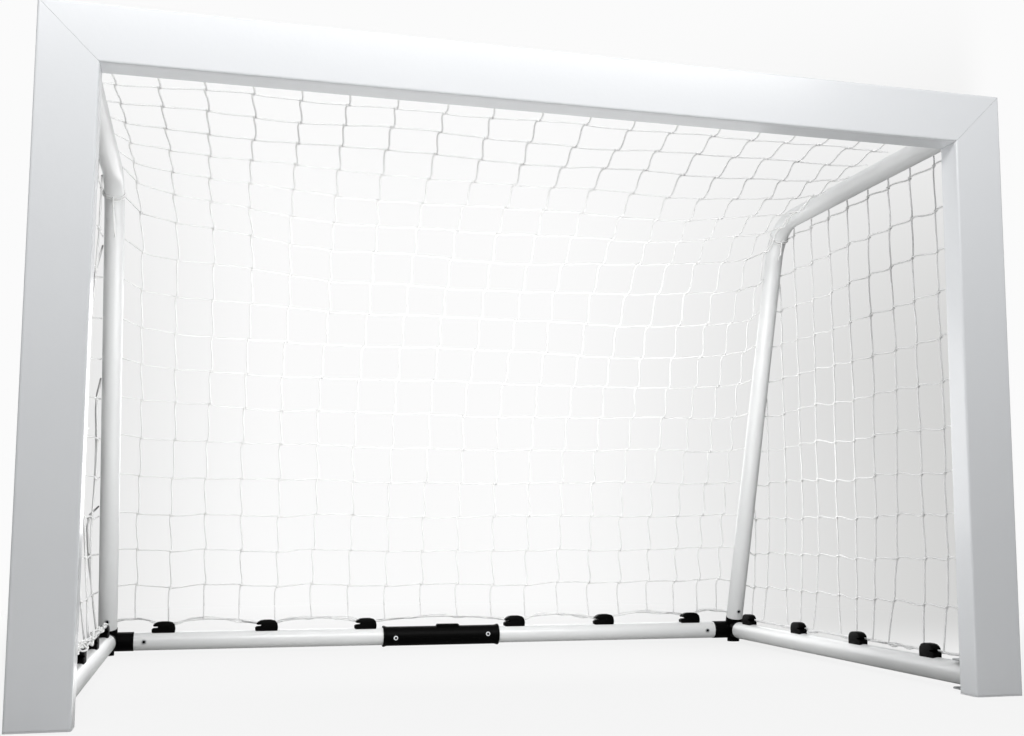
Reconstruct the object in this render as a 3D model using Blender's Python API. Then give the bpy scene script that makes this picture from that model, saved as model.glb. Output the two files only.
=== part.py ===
"""Mini soccer goal, 1.8 m wide, with a mitred front frame, two bent side bows and a knotted net.

Units are metres. X runs along the crossbar, -Y is the side the ball comes from and Z is up.
The origin is on the ground, in the middle of the goal's footprint.
"""
import math

import bmesh
import bpy
from mathutils import Matrix, Vector

# Overall size
goal_width = 1.800
goal_height = 1.175
rear_bar_depth = 1.200          # front face of the goal to the axis of the rear ground bar

# Rectangular profile of the posts and the crossbar
profile_face = 0.100
profile_depth = 0.055
profile_wall = 0.0025
profile_edge_radius = 0.004
mitre_gap = 0.00025             # each mitre face stands back from the true mitre by this

# Round tubes of the side frames and the rear bar
tube_diameter = 0.045
tube_wall = 0.0016
side_frame_inset = 0.063        # outer side of the goal to the middle plane of a side frame
ground_bar_height = 0.033       # axis above the ground
bow_drop = 0.060                # top of the crossbar down to the axis of the level top run
bow_setback = 0.332             # rear bar forward to where the top run and the leg would meet
bow_bend_radius = 0.120

# Clearances
seat_gap = 0.0003
hole_clearance = 0.0005

# U brackets that carry the side frames on the front frame
bracket_thickness = 0.0025
bracket_width = 0.034
bracket_reach = 0.032
bracket_bend = 0.0045
bracket_ear_space = 0.0033      # between each ear and the tube
bracket_rivet_offset = 0.012
bolt_radius = 0.004
bolt_head_radius = 0.0075
bolt_head_height = 0.0018
bolt_tip = 0.003
nut_across_corners = 0.0150
nut_height = 0.0065
tube_end_space = 0.0040         # bracket base to the end of the tube, room for the rivet heads

# Blind rivets and screws
rivet_radius = 0.0024
rivet_head_radius = 0.0045
rivet_head_height = 0.0014
rivet_tail_length = 0.004
screw_radius = 0.0022
screw_head_radius = 0.0042
screw_head_height = 0.0016
screw_bite = 0.010              # how deep a screw goes into the plastic behind the tube

# Angle plates inside the mitres
plate_thickness = 0.004
plate_width = 0.078
plate_arm = 0.150
plate_screw_reach = 0.110       # from the inside corner of the frame

# End caps of the posts
cap_flange = 0.003
cap_plug_height = 0.022
cap_wall = 0.0025

# Three-way corner joints at the rear
joint_step = 0.0010             # the collars stand this proud of the tubes
hub_step = 0.0012               # and the round hub between them this proud of the collars
rear_arm = 0.062
side_arm = 0.045
leg_arm = 0.036
spigot_length = 0.055
spigot_lead = 0.004
foot_radius = 0.017
screw_from_end = 0.025

# Rear bar: two halves joined by an outer sleeve
half_gap = 0.0010
sleeve_wall = 0.0022
sleeve_length = 0.309
sleeve_lip_height = 0.0016
sleeve_lip_length = 0.007
sleeve_rivet_from_end = 0.0315
sleeve_pad_length = 0.062
sleeve_pad_width = 0.020
sleeve_pad_height = 0.0045

# Net clips on the ground bars
clip_length = 0.056
clip_height = 0.026             # above the top of the tube
clip_width = 0.020
clip_skirt = 0.004
clip_edge = 0.0015
clip_peg_radius = 0.0025
clip_peg_length = 0.004         # past the inside of the tube's wall
rear_clips_per_half = 3
rear_clip_from_sleeve = 0.0455  # end of the sleeve to the middle of the first clip
rear_clip_from_corner = 0.132   # axis of the corner joint to the middle of the last clip
side_clip_count = 4
side_clip_from_post = 0.155     # rear face of the post to the middle of the first clip
side_clip_from_corner = 0.110   # axis of the corner joint to the middle of the last clip

# Net hooks welded behind the crossbar and the posts
hook_thickness = 0.0025
hook_length = 0.012
hook_lip_height = 0.003
crossbar_hook_cells = (0, 2, 4, 5, 7, 9)
post_hook_cells = (1, 3, 5)

# Net, drawn coarser than the real 90 mm mesh, with its real cord
cord_size = 0.004
net_columns = 10
roof_row_count = 4              # along the level run of the bows
bend_row_count = 2
leg_row_count = 6
strip_row_count = 3
side_columns = 7
side_rows = 7
net_stand_off = 0.033           # tube axis to the cord that runs along the outside of the bow
net_middle_fullness = 2.3       # the middle line's exponent: 1 is a straight line, 2 a quarter ellipse
net_bow_pull = 2.2              # how closely the net follows the bows away from them
net_hem_pull = 5.0              # added to that towards the hem, which runs straight behind the clips
net_front_tuck = 0.030          # front corners of the net stand this far inside the brackets
border_cord_rise = 0.009        # border cord above the top of the ground bars

# Worked out from the values above
tube_radius = tube_diameter / 2
half_width = goal_width / 2
side_frame_x = half_width - side_frame_inset
bow_height = goal_height - bow_drop
bow_corner_depth = rear_bar_depth - bow_setback
inner_height = goal_height - profile_face
collar_radius = tube_radius + joint_step
spigot_radius = tube_radius - tube_wall - seat_gap
sleeve_radius = tube_radius + seat_gap + sleeve_wall
sleeve_rivet_x = sleeve_length / 2 - sleeve_rivet_from_end
ear_inner = tube_radius + bracket_ear_space
ear_outer = ear_inner + bracket_thickness
bracket_base_back = profile_depth + seat_gap + bracket_thickness
tube_start = bracket_base_back + tube_end_space
bolt_depth = profile_depth + seat_gap + bracket_reach - bracket_width / 2
leg_rise = bow_height - ground_bar_height
leg_run = rear_bar_depth - bow_corner_depth
leg_lean = math.atan2(leg_run, leg_rise)
front_y = -(rear_bar_depth + sleeve_radius + sleeve_lip_height) / 2
border_height = ground_bar_height + tube_radius + border_cord_rise
border_offset = clip_width / 2 + seat_gap + cord_size / 2
hook_cord_depth = profile_depth + seat_gap + cord_size / 2
net_side_x = side_frame_x + tube_radius + seat_gap + cord_size / 2
net_front_height = bow_height + net_stand_off
net_rows = roof_row_count + bend_row_count + leg_row_count

round_sides = 20
small_sides = 8
smooth_angle = math.radians(35)
X_AXIS = Vector((1, 0, 0))
Y_AXIS = Vector((0, 1, 0))
Z_AXIS = Vector((0, 0, 1))


def at(x, depth, z):
    """A point given by its distance behind the goal's front face."""
    return Vector((x, front_y + depth, z))


# Scene and materials
for old in list(bpy.data.objects):
    bpy.data.objects.remove(old, do_unlink=True)

goal = bpy.data.objects.new("goal", None)
bpy.context.scene.collection.objects.link(goal)


def finish(name, colour, roughness, metallic=0.0):
    """A Principled material with one colour."""
    material = bpy.data.materials.new(name)
    material.use_nodes = True
    shader = material.node_tree.nodes["Principled BSDF"]
    shader.inputs["Base Color"].default_value = (*colour, 1.0)
    shader.inputs["Roughness"].default_value = roughness
    shader.inputs["Metallic"].default_value = metallic
    return material


white_coat = finish("white powder coat", (0.86, 0.87, 0.89), 0.30)
tube_coat = finish("white tube coat", (0.82, 0.82, 0.82), 0.35)
black_plastic = finish("black moulded plastic", (0.010, 0.010, 0.011), 0.50)
cap_plastic = finish("white end cap plastic", (0.80, 0.81, 0.83), 0.45)
zinc_steel = finish("zinc plated steel", (0.62, 0.62, 0.60), 0.35, 1.0)
net_cord = finish("white net cord", (0.90, 0.90, 0.88), 0.85)


# Solid building
def lofted(loops, ring=False):
    """A skin over loops of equal point counts, joined end to end as a ring or capped at both ends."""
    bm = bmesh.new()
    rows = [[bm.verts.new(point) for point in loop] for loop in loops]
    following = rows[1:] + rows[:1] if ring else rows[1:]
    count = len(rows[0])
    for row, other in zip(rows, following):
        for i in range(count):
            j = (i + 1) % count
            bm.faces.new((row[i], row[j], other[j], other[i]))
    if not ring:
        bm.faces.new(rows[0])
        bm.faces.new(rows[-1])
    bmesh.ops.recalc_face_normals(bm, faces=bm.faces)
    return bm


def circle(radius, sides, centre=(0, 0, 0), across=X_AXIS, up=Y_AXIS):
    """Points round a circle in the plane of two directions."""
    turns = [2 * math.pi * (i + 0.5) / sides for i in range(sides)]
    centre = Vector(centre)
    return [centre + radius * (math.cos(t) * across + math.sin(t) * up) for t in turns]


def rounded_rectangle(width, height, radius, steps=3):
    """Points round a rectangle with round corners, centred on zero."""
    points = []
    for corner in range(4):
        start = corner * math.pi / 2
        side_x = 1 if corner in (0, 3) else -1
        side_y = 1 if corner in (0, 1) else -1
        for step in range(steps + 1):
            turn = start + step / steps * math.pi / 2
            points.append((side_x * (width / 2 - radius) + radius * math.cos(turn),
                           side_y * (height / 2 - radius) + radius * math.sin(turn)))
    return points


def turned(profile, sides=small_sides):
    """A solid of revolution about Z from (radius, height) pairs."""
    return lofted([circle(radius, sides, (0, 0, height)) for radius, height in profile])


def ring_turned(profile, sides=round_sides):
    """A ring about Z whose closed section is a list of (radius, height) pairs."""
    return lofted([circle(radius, sides, (0, 0, height)) for radius, height in profile], ring=True)


def extruded(outline, depth):
    """A flat outline of (x, y) points, thickened to both sides along Z."""
    return lofted([[Vector((x, y, side * depth / 2)) for x, y in outline] for side in (-1, 1)])


def swept_tube(path, directions, radius, wall, sides=round_sides):
    """A tube with open ends along a path in a plane of constant X."""
    outer = []
    inner = []
    for centre, along in zip(path, directions):
        up = X_AXIS.cross(along)
        outer.append(circle(radius, sides, centre, X_AXIS, up))
        inner.append(circle(radius - wall, sides, centre, X_AXIS, up))
    return lofted(outer + inner[::-1], ring=True)


def moved(bm, position=(0, 0, 0), along=None, turn=None):
    """The mesh with its Z turned to a direction, or turned by a matrix, and put in its place."""
    matrix = Matrix.Translation(Vector(position))
    if along is not None:
        matrix = matrix @ Vector(along).to_track_quat("Z", "Y").to_matrix().to_4x4()
    if turn is not None:
        matrix = matrix @ turn.to_4x4()
    bmesh.ops.transform(bm, matrix=matrix, verts=bm.verts)
    return bm


def joined(meshes):
    """Several cutters, or several pieces to weld on, as one mesh."""
    result = bmesh.new()
    for bm in meshes:
        mesh = bpy.data.meshes.new("part")
        bm.to_mesh(mesh)
        bm.free()
        result.from_mesh(mesh)
        bpy.data.meshes.remove(mesh)
    return result


def combined(first, second, operation):
    """The union, difference or intersection of two solids, by the exact Boolean."""
    solids = []
    for bm in (first, second):
        mesh = bpy.data.meshes.new("operand")
        bm.to_mesh(mesh)
        bm.free()
        solid = bpy.data.objects.new("operand", mesh)
        bpy.context.scene.collection.objects.link(solid)
        solids.append(solid)
    modifier = solids[0].modifiers.new("boolean", "BOOLEAN")
    modifier.operation = operation
    modifier.object = solids[1]
    modifier.solver = "EXACT"
    evaluated = solids[0].evaluated_get(bpy.context.evaluated_depsgraph_get())
    result = bmesh.new()
    result.from_mesh(evaluated.to_mesh())
    evaluated.to_mesh_clear()
    for solid in solids:
        mesh = solid.data
        bpy.data.objects.remove(solid)
        bpy.data.meshes.remove(mesh)
    return result


def pins(places, radius, length, sides=small_sides):
    """Plain cylinders that start at points and run along directions."""
    return joined([moved(turned([(radius, 0), (radius, length)], sides), point, direction)
                   for point, direction in places])


def drilled(bm, places, radius, length, sides=small_sides):
    """The solid with round holes that start at points and run along directions."""
    return combined(bm, pins(places, radius, length, sides), "DIFFERENCE")


def piece(name, bm, material, position=(0, 0, 0)):
    """Make the named object from a finished mesh."""
    mesh = bpy.data.meshes.new(name)
    bm.to_mesh(mesh)
    bm.free()
    mesh.materials.clear()
    mesh.materials.append(material)
    mesh.shade_smooth()
    mesh.set_sharp_from_angle(angle=smooth_angle)
    made = bpy.data.objects.new(name, mesh)
    bpy.context.scene.collection.objects.link(made)
    made.parent = goal
    made.location = position
    return made


# Places that several pieces share
def bracket_rivets(side, height):
    """Centres of a U bracket's rivets.

    A top bracket sits on the mitre.
    Its two rivets stand on a diagonal, one in the crossbar and one in the post.
    A foot bracket has one rivet in the middle.
    """
    if height < goal_height / 2:
        return [(side * side_frame_x, height)]
    return [(side * (side_frame_x - bracket_rivet_offset), height + bracket_rivet_offset),
            (side * (side_frame_x + bracket_rivet_offset), height - bracket_rivet_offset)]


def plate_screws(side):
    """Centres of an angle plate's two screws: one in the post, one in the crossbar."""
    return [(side * (half_width - profile_face / 2), inner_height - plate_screw_reach),
            (side * (half_width - profile_face - plate_screw_reach), goal_height - profile_face / 2)]


def spread(first, last, count):
    """Evenly spaced values from the first to the last."""
    return [first + (last - first) * i / (count - 1) for i in range(count)]


def mirrored(values):
    """The values and their negatives, from left to right."""
    return sorted([-value for value in values] + list(values))


rear_clip_x = spread(sleeve_length / 2 + rear_clip_from_sleeve, side_frame_x - rear_clip_from_corner,
                     rear_clips_per_half)
side_clip_depth = spread(profile_depth + side_clip_from_post, rear_bar_depth - side_clip_from_corner,
                         side_clip_count)


cell_width = 2 * side_frame_x / net_columns
crossbar_hook_x = [-side_frame_x + (cell + 0.5) * cell_width for cell in crossbar_hook_cells]
side_cell_height = (bow_height - border_height) / side_rows
post_hook_z = [border_height + (cell + 0.5) * side_cell_height for cell in post_hook_cells]


# Front frame
rear_face = profile_depth + 0.001
wall_cut = profile_wall + 0.002


def section_loops(inset, radius):
    """The profile's section, or its cavity's, as (face direction, depth) pairs."""
    loop = rounded_rectangle(profile_face - 2 * inset, profile_depth - 2 * inset, radius)
    return [(face, profile_depth / 2 + depth) for face, depth in loop]


cavity_radius = profile_edge_radius - profile_wall
profile_sections = (section_loops(0, profile_edge_radius), section_loops(profile_wall, cavity_radius))


def net_hook():
    """One L-shaped hook, with the cord it holds at zero along X and its root in the profile's wall."""
    near = cord_size / 2 + seat_gap
    root = near + profile_wall / 2
    far = near + hook_thickness
    outline = [(-root, -far), (far, -far), (far, hook_lip_height), (near, hook_lip_height),
               (near, -near), (-root, -near)]
    return lofted([[Vector((x, y, z)) for y, z in outline] for x in (-hook_length / 2, hook_length / 2)])


def finished_profile(bm, rivets, screws, hooks):
    """Weld the net hooks on a profile and drill its rear wall for rivets and screws."""
    bm = combined(bm, joined(hooks), "UNION")
    for centres, radius in ((rivets, rivet_radius), (screws, screw_radius)):
        places = [(at(x, rear_face, z), -Y_AXIS) for x, z in centres]
        bm = drilled(bm, places, radius + hole_clearance, wall_cut)
    return bm


def post(side):
    """One post: hollow, square at the foot and mitred at the top."""
    middle = half_width - profile_face / 2
    foot = cap_flange + seat_gap
    rows = []
    for section in profile_sections:
        bottom = []
        top = []
        for face, depth in section:
            x = middle + face
            bottom.append(at(side * x, depth, foot))
            top.append(at(side * x, depth, goal_height - (half_width - x) - mitre_gap))
        rows.append((bottom, top))
    (outer_foot, outer_top), (inner_foot, inner_top) = rows
    bm = lofted([outer_foot, outer_top, inner_top, inner_foot], ring=True)
    top_rivets = bracket_rivets(side, bow_height)[1:]
    foot_rivets = bracket_rivets(side, ground_bar_height)
    sideways = Matrix.Rotation(side * math.pi / 2, 3, "Y")
    hooks = [moved(net_hook(), at(side * net_side_x, hook_cord_depth, z), turn=sideways)
             for z in post_hook_z]
    return finished_profile(bm, top_rivets + foot_rivets, plate_screws(side)[:1], hooks)


def crossbar():
    """The crossbar: hollow, with a mitre at each end."""
    middle = goal_height - profile_face / 2
    rows = []
    for section in profile_sections:
        ends = []
        for side in (-1, 1):
            ends.append([at(side * (half_width - (goal_height - middle - face) - mitre_gap), depth, middle + face)
                         for face, depth in section])
        rows.append(ends)
    (outer_left, outer_right), (inner_left, inner_right) = rows
    bm = lofted([outer_left, outer_right, inner_right, inner_left], ring=True)
    rivets = [bracket_rivets(side, bow_height)[0] for side in (-1, 1)]
    screws = plate_screws(-1)[1:] + plate_screws(1)[1:]
    hooks = [moved(net_hook(), at(x, hook_cord_depth, net_front_height)) for x in crossbar_hook_x]
    return finished_profile(bm, rivets, screws, hooks)


def angle_plate(side):
    """The steel L that joins post and crossbar, against the inside of their rear walls."""
    margin = (profile_face - plate_width) / 2
    outer_x = half_width - margin
    inner_x = outer_x - plate_width
    top = goal_height - margin
    bottom = top - plate_width
    foot = inner_height - plate_arm
    tip = half_width - profile_face - plate_arm
    chamfer = plate_width / 4
    outline = [(tip, bottom), (inner_x, bottom), (inner_x, foot), (outer_x, foot),
               (outer_x, top - chamfer), (outer_x - chamfer, top), (tip, top)]
    back = profile_depth - profile_wall - seat_gap
    loops = [[at(side * x, depth, z) for x, z in outline] for depth in (back - plate_thickness, back)]
    start = back + 0.001
    cut = plate_thickness + 0.002
    rivets = [(at(x, start, z), -Y_AXIS) for x, z in bracket_rivets(side, bow_height)]
    screws = [(at(x, start, z), -Y_AXIS) for x, z in plate_screws(side)]
    bm = drilled(lofted(loops), rivets, rivet_radius + hole_clearance, cut)
    return drilled(bm, screws, screw_radius + hole_clearance, cut)


def end_cap(side):
    """The plastic cap under a post: a flange with a hollow plug above it."""
    middle = side * (half_width - profile_face / 2)
    plug_inset = profile_wall + seat_gap
    levels = [(0, profile_edge_radius, 0), (0, profile_edge_radius, cap_flange),
              (plug_inset, cavity_radius, cap_flange), (plug_inset, cavity_radius, cap_flange + cap_plug_height),
              (plug_inset + cap_wall, cavity_radius, cap_flange + cap_plug_height),
              (plug_inset + cap_wall, cavity_radius, cap_flange)]
    return lofted([[at(middle + face, depth, z) for face, depth in section_loops(inset, radius)]
                   for inset, radius, z in levels])


# Brackets, bolts and rivets
def u_bracket(side, height):
    """A steel strap bent to a U round the tube's end, with rounded ears and a nut welded on the upper one."""
    outer = rounded_rectangle(2 * bracket_reach, 2 * ear_outer, bracket_bend)
    inner = rounded_rectangle(2 * (bracket_reach - bracket_thickness), 2 * ear_inner,
                              bracket_bend - bracket_thickness)
    strap = lofted([[Vector((x, y + bracket_reach, z)) for y, z in outer]
                    for x in (-bracket_width, bracket_width)])
    hollow = lofted([[Vector((x, y + bracket_reach, z)) for y, z in inner]
                     for x in (-2 * bracket_width, 2 * bracket_width)])
    strap = combined(strap, hollow, "DIFFERENCE")
    half = bracket_width / 2
    turns = [math.pi * i / 8 for i in range(9)]
    plan = [(-half, -0.001), (half, -0.001)]
    plan += [(half * math.cos(t), bracket_reach - half + half * math.sin(t)) for t in turns]
    bm = combined(strap, extruded(plan, 4 * ear_outer), "INTERSECT")
    corner = nut_across_corners / 2
    nut = turned([(corner, ear_outer - 0.0005), (corner, ear_outer + nut_height * 0.88),
                  (corner * 0.9, ear_outer + nut_height)], 6)
    bm = combined(bm, moved(nut, (0, bracket_reach - half, 0)), "UNION")
    moved(bm, at(side * side_frame_x, profile_depth + seat_gap, height))
    rivets = [(at(x, bracket_base_back + 0.001, z), -Y_AXIS) for x, z in bracket_rivets(side, height)]
    bm = drilled(bm, rivets, rivet_radius + hole_clearance, bracket_thickness + 0.002)
    bolt = [(at(side * side_frame_x, bolt_depth, height - ear_outer - 0.001), Z_AXIS)]
    return drilled(bm, bolt, bolt_radius + hole_clearance, 2 * ear_outer + nut_height + 0.002)


def bracket_bolt(side, height):
    """The bolt through both ears and the tube, its low head underneath."""
    top = 2 * ear_outer + nut_height + bolt_tip
    profile = [(bolt_head_radius * 0.7, -bolt_head_height - seat_gap),
               (bolt_head_radius, -bolt_head_height * 0.5 - seat_gap), (bolt_head_radius, -seat_gap),
               (bolt_radius, -seat_gap), (bolt_radius, top - 0.001), (bolt_radius * 0.75, top)]
    return moved(turned(profile), at(side * side_frame_x, bolt_depth, height - ear_outer))


def blind_rivet(point, direction, grip):
    """A blind rivet: domed head, shank through the grip and a bulb behind it."""
    radius = rivet_radius
    bulb = grip + seat_gap
    tail = bulb + rivet_tail_length
    profile = [(rivet_head_radius * 0.45, -rivet_head_height), (rivet_head_radius * 0.85, -rivet_head_height * 0.6),
               (rivet_head_radius, 0), (radius, 0), (radius, bulb), (radius * 1.5, bulb + 0.001),
               (radius * 1.5, tail - 0.001), (radius, tail)]
    return moved(turned(profile), point, direction)


def pan_screw(point, direction, length):
    """A pan head screw whose head stands on the surface at the point."""
    profile = [(screw_head_radius * 0.55, -screw_head_height - seat_gap),
               (screw_head_radius, -screw_head_height * 0.45 - seat_gap), (screw_head_radius, -seat_gap),
               (screw_radius, -seat_gap), (screw_radius, length - 0.002), (screw_radius * 0.5, length)]
    return moved(turned(profile), point, direction)


def plate_screw(x, z):
    """A screw through the rear wall of the frame into an angle plate."""
    length = profile_wall + seat_gap + plate_thickness + 0.002
    return pan_screw(at(x, profile_depth, z), -Y_AXIS, length)


# Side frames
corner_point = Vector((0, rear_bar_depth, ground_bar_height))
leg_up = Vector((0, -math.sin(leg_lean), math.cos(leg_lean)))


def bow_path(depth_start, leg_stop, offset=0.0, bend_steps=7):
    """Points and directions along a bow: level run, bend and leg, set outwards by an offset."""
    turn = math.pi / 2 - leg_lean
    tangent = bow_bend_radius * math.tan(turn / 2)
    bend_start = bow_corner_depth - tangent
    centre = Vector((0, bend_start, bow_height - bow_bend_radius))
    points = [Vector((0, depth_start, bow_height + offset))]
    directions = [Vector(Y_AXIS)]
    for step in range(bend_steps + 1):
        angle = turn * step / bend_steps
        out = Vector((0, math.sin(angle), math.cos(angle)))
        points.append(centre + (bow_bend_radius + offset) * out)
        directions.append(Vector((0, math.cos(angle), -math.sin(angle))))
    outwards = Vector((0, math.cos(leg_lean), math.sin(leg_lean)))
    points.append(corner_point + leg_up * leg_stop + outwards * offset)
    directions.append(-leg_up)
    return points, directions


def corner_screw_places(side):
    """Surface point and inward direction of the screws in the rear bar and in the leg of the bow."""
    corner = at(side * side_frame_x, rear_bar_depth, ground_bar_height)
    rear = corner + X_AXIS * -side * (rear_arm + screw_from_end) - Y_AXIS * tube_radius
    front = Vector((0, -math.cos(leg_lean), -math.sin(leg_lean)))
    leg = corner + leg_up * (leg_arm + screw_from_end) + front * tube_radius
    return {"rear": (rear, Vector(Y_AXIS)), "leg": (leg, -front)}


def screw_hole(bm, side, which):
    """Drill the hole of one corner screw through a tube's wall and on into what is behind it."""
    point, inward = corner_screw_places(side)[which]
    return drilled(bm, [(point - inward * 0.002, inward)], screw_radius + hole_clearance,
                   0.002 + tube_wall + seat_gap + screw_bite + 0.001)


def bolt_hole(bm, side, height):
    """Drill a tube's front end for the bracket bolt."""
    start = at(side * side_frame_x, bolt_depth, height - tube_radius - 0.002)
    return drilled(bm, [(start, Z_AXIS)], bolt_radius + hole_clearance, tube_diameter + 0.004)


def bow(side):
    """The bent tube from the top corner of the front frame down to the rear corner joint."""
    points, directions = bow_path(tube_start, leg_arm + seat_gap)
    place = at(side * side_frame_x, 0, 0)
    bm = swept_tube([place + point for point in points], directions, tube_radius, tube_wall)
    return screw_hole(bolt_hole(bm, side, bow_height), side, "leg")


def peg_holes(bm, places):
    """Drill the pegs' holes in the top wall of a ground bar."""
    starts = [(Vector((x, y, ground_bar_height + tube_radius + 0.002)), -Z_AXIS) for x, y in places]
    return drilled(bm, starts, clip_peg_radius + hole_clearance, tube_radius, 8)


def ground_bar(side):
    """The straight tube on the ground from the post to the rear corner joint."""
    start = at(side * side_frame_x, tube_start, ground_bar_height)
    end = at(side * side_frame_x, rear_bar_depth - side_arm - seat_gap, ground_bar_height)
    bm = swept_tube([start, end], [Y_AXIS, Y_AXIS], tube_radius, tube_wall)
    bm = bolt_hole(bm, side, ground_bar_height)
    return peg_holes(bm, [(start.x, front_y + depth) for depth in side_clip_depth])


def corner_joint(side):
    """The moulded three-way joint: hub, collars and spigots for three tubes, and a foot.

    Each collar is turned about its own axis by its own angle, so no facets of two collars coincide.
    """
    corner = at(side * side_frame_x, rear_bar_depth, ground_bar_height)
    arms = ((rear_arm, X_AXIS * -side, 0.05), (side_arm, -Y_AXIS, 0.11), (leg_arm, leg_up, 0.19))
    bm = bmesh.new()
    bmesh.ops.create_icosphere(bm, subdivisions=2, radius=collar_radius + hub_step)
    moved(bm, corner)
    for arm, direction, spin in arms:
        collar = moved(turned([(collar_radius, 0.002), (collar_radius, arm)], round_sides),
                       turn=Matrix.Rotation(spin, 3, "Z"))
        bm = combined(bm, moved(collar, corner, direction), "UNION")
    for arm, direction, spin in arms:
        reach = arm + spigot_length
        spigot = turned([(spigot_radius, arm - 0.010), (spigot_radius, reach - spigot_lead),
                         (spigot_radius * 0.9, reach)], round_sides)
        bm = combined(bm, moved(spigot, corner, direction), "UNION")
    foot = moved(turned([(foot_radius, 0), (foot_radius, ground_bar_height - 0.003)], 16),
                 Vector((corner.x, corner.y, 0)))
    bm = combined(bm, foot, "UNION")
    return screw_hole(screw_hole(bm, side, "rear"), side, "leg")


def corner_screw(side, which):
    """A screw through the wall of a tube into the joint's spigot."""
    point, inward = corner_screw_places(side)[which]
    return pan_screw(point, inward, tube_wall + seat_gap + screw_bite)


# Rear ground bar
def sleeve_rivet_place(side):
    """Point under the head and inward direction of one of the sleeve's rivets, on its front."""
    depth = rear_bar_depth - sleeve_radius - seat_gap
    return at(side * sleeve_rivet_x, depth, ground_bar_height), Vector(Y_AXIS)


def straight_tube(length, radius, wall, centre):
    """A tube along X."""
    half = length / 2
    section = [(radius - wall, -half), (radius, -half), (radius, half), (radius - wall, half)]
    return moved(ring_turned(section), centre, X_AXIS)


def rivet_holes(bm):
    """Drill for the sleeve rivets from the front, through the near walls only."""
    places = [sleeve_rivet_place(side) for side in (-1, 1)]
    starts = [(point - direction * 0.002, direction) for point, direction in places]
    return drilled(bm, starts, rivet_radius + hole_clearance, sleeve_radius)


def rear_bar(side):
    """One half of the rear ground bar."""
    outer_end = side_frame_x - rear_arm - seat_gap
    length = outer_end - half_gap / 2
    centre = at(side * (half_gap / 2 + length / 2), rear_bar_depth, ground_bar_height)
    bm = rivet_holes(straight_tube(length, tube_radius, tube_wall, centre))
    bm = screw_hole(bm, side, "rear")
    return peg_holes(bm, [(side * x, front_y + rear_bar_depth) for x in rear_clip_x])


def centre_sleeve():
    """The black sleeve over the joint, with a lip at each end and a low pad on top."""
    centre = at(0, rear_bar_depth, ground_bar_height)
    inner = tube_radius + seat_gap
    half = sleeve_length / 2
    lip = sleeve_radius + sleeve_lip_height
    slope = half - sleeve_lip_length
    section = [(inner, -half), (lip, -half), (lip, -half + sleeve_lip_length / 2), (sleeve_radius, -slope),
               (sleeve_radius, slope), (lip, half - sleeve_lip_length / 2), (lip, half), (inner, half)]
    bm = moved(ring_turned(section), centre, X_AXIS)
    rise = sleeve_radius + sleeve_pad_height
    length = sleeve_pad_length / 2
    crown = [(-length, inner + 0.001), (length, inner + 0.001), (length, sleeve_radius + 0.001),
             (length * 0.85, rise), (-length * 0.85, rise), (-length, sleeve_radius + 0.001)]
    half_pad = sleeve_pad_width / 2
    pad = [[centre + Vector((x, y, z)) for x, z in crown] for y in (-half_pad, half_pad)]
    return rivet_holes(combined(bm, lofted(pad), "UNION"))


def sleeve_rivet(side):
    """A rivet through the sleeve and one half of the bar."""
    point, direction = sleeve_rivet_place(side)
    return blind_rivet(point, direction, seat_gap + sleeve_wall + seat_gap + tube_wall)


# Net clips
def clip_mesh():
    """One net clip, with the tube's axis at zero along X and the clip on top of the tube.

    Its outline is a low dome with a wedge-shaped mouth at one end that takes a loop of the net.
    """
    half = clip_length / 2
    top = tube_radius
    dome_width = half * 0.93
    dome_base = clip_height * 0.25
    outline = [(-half, -clip_skirt), (half, -clip_skirt), (half, dome_base * 0.8)]
    for step in range(7):
        turn = math.radians(12 + step * 22)
        outline.append((half * 0.05 + dome_width * math.cos(turn),
                        dome_base + (clip_height - dome_base) * math.sin(turn)))
    tip = outline[-1]
    outline += [(tip[0], tip[1] - 0.002), (-half * 0.28, clip_height * 0.44), (-half * 0.30, clip_height * 0.32),
                (-half * 0.92, clip_height * 0.24), (-half, clip_height * 0.12)]
    bm = extruded([(x, top + z) for x, z in outline], clip_width)
    rims = [edge for edge in bm.edges if abs(edge.verts[0].co.z - edge.verts[1].co.z) < clip_edge]
    bmesh.ops.bevel(bm, geom=rims, offset=clip_edge, segments=1, affect="EDGES", clamp_overlap=True)
    moved(bm, turn=Matrix.Rotation(math.pi / 2, 3, "X"))
    seat = tube_radius + seat_gap
    saddle = turned([(seat, -clip_length), (seat, clip_length)], round_sides)
    bm = combined(bm, moved(saddle, along=X_AXIS), "DIFFERENCE")
    peg_end = tube_radius - tube_wall - clip_peg_length
    peg = turned([(clip_peg_radius * 0.7, peg_end), (clip_peg_radius, peg_end + 0.002),
                  (clip_peg_radius, tube_radius + 0.003)], 8)
    return combined(bm, peg, "UNION")


def make_clips():
    """Fourteen clips: six on the rear bar and four on each side bar, mouths to the left or to the front."""
    for number, x in enumerate(mirrored(rear_clip_x), start=1):
        place = at(x, rear_bar_depth, ground_bar_height)
        piece("rear_net_clip_%d" % number, clip_mesh(), black_plastic, place)
    for side, label in ((-1, "left"), (1, "right")):
        for number, depth in enumerate(side_clip_depth, start=1):
            clip = moved(clip_mesh(), turn=Matrix.Rotation(math.pi / 2, 3, "Z"))
            place = at(side * side_frame_x, depth, ground_bar_height)
            piece("%s_net_clip_%d" % (label, number), clip, black_plastic, place)


# Net
def along_path(points, share):
    """The point at a share of a polyline's length."""
    lengths = [(b - a).length for a, b in zip(points, points[1:])]
    left = share * sum(lengths)
    for start, end, length in zip(points, points[1:], lengths):
        if left <= length or end is points[-1]:
            return start.lerp(end, min(left / length, 1.0))
        left -= length


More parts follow.
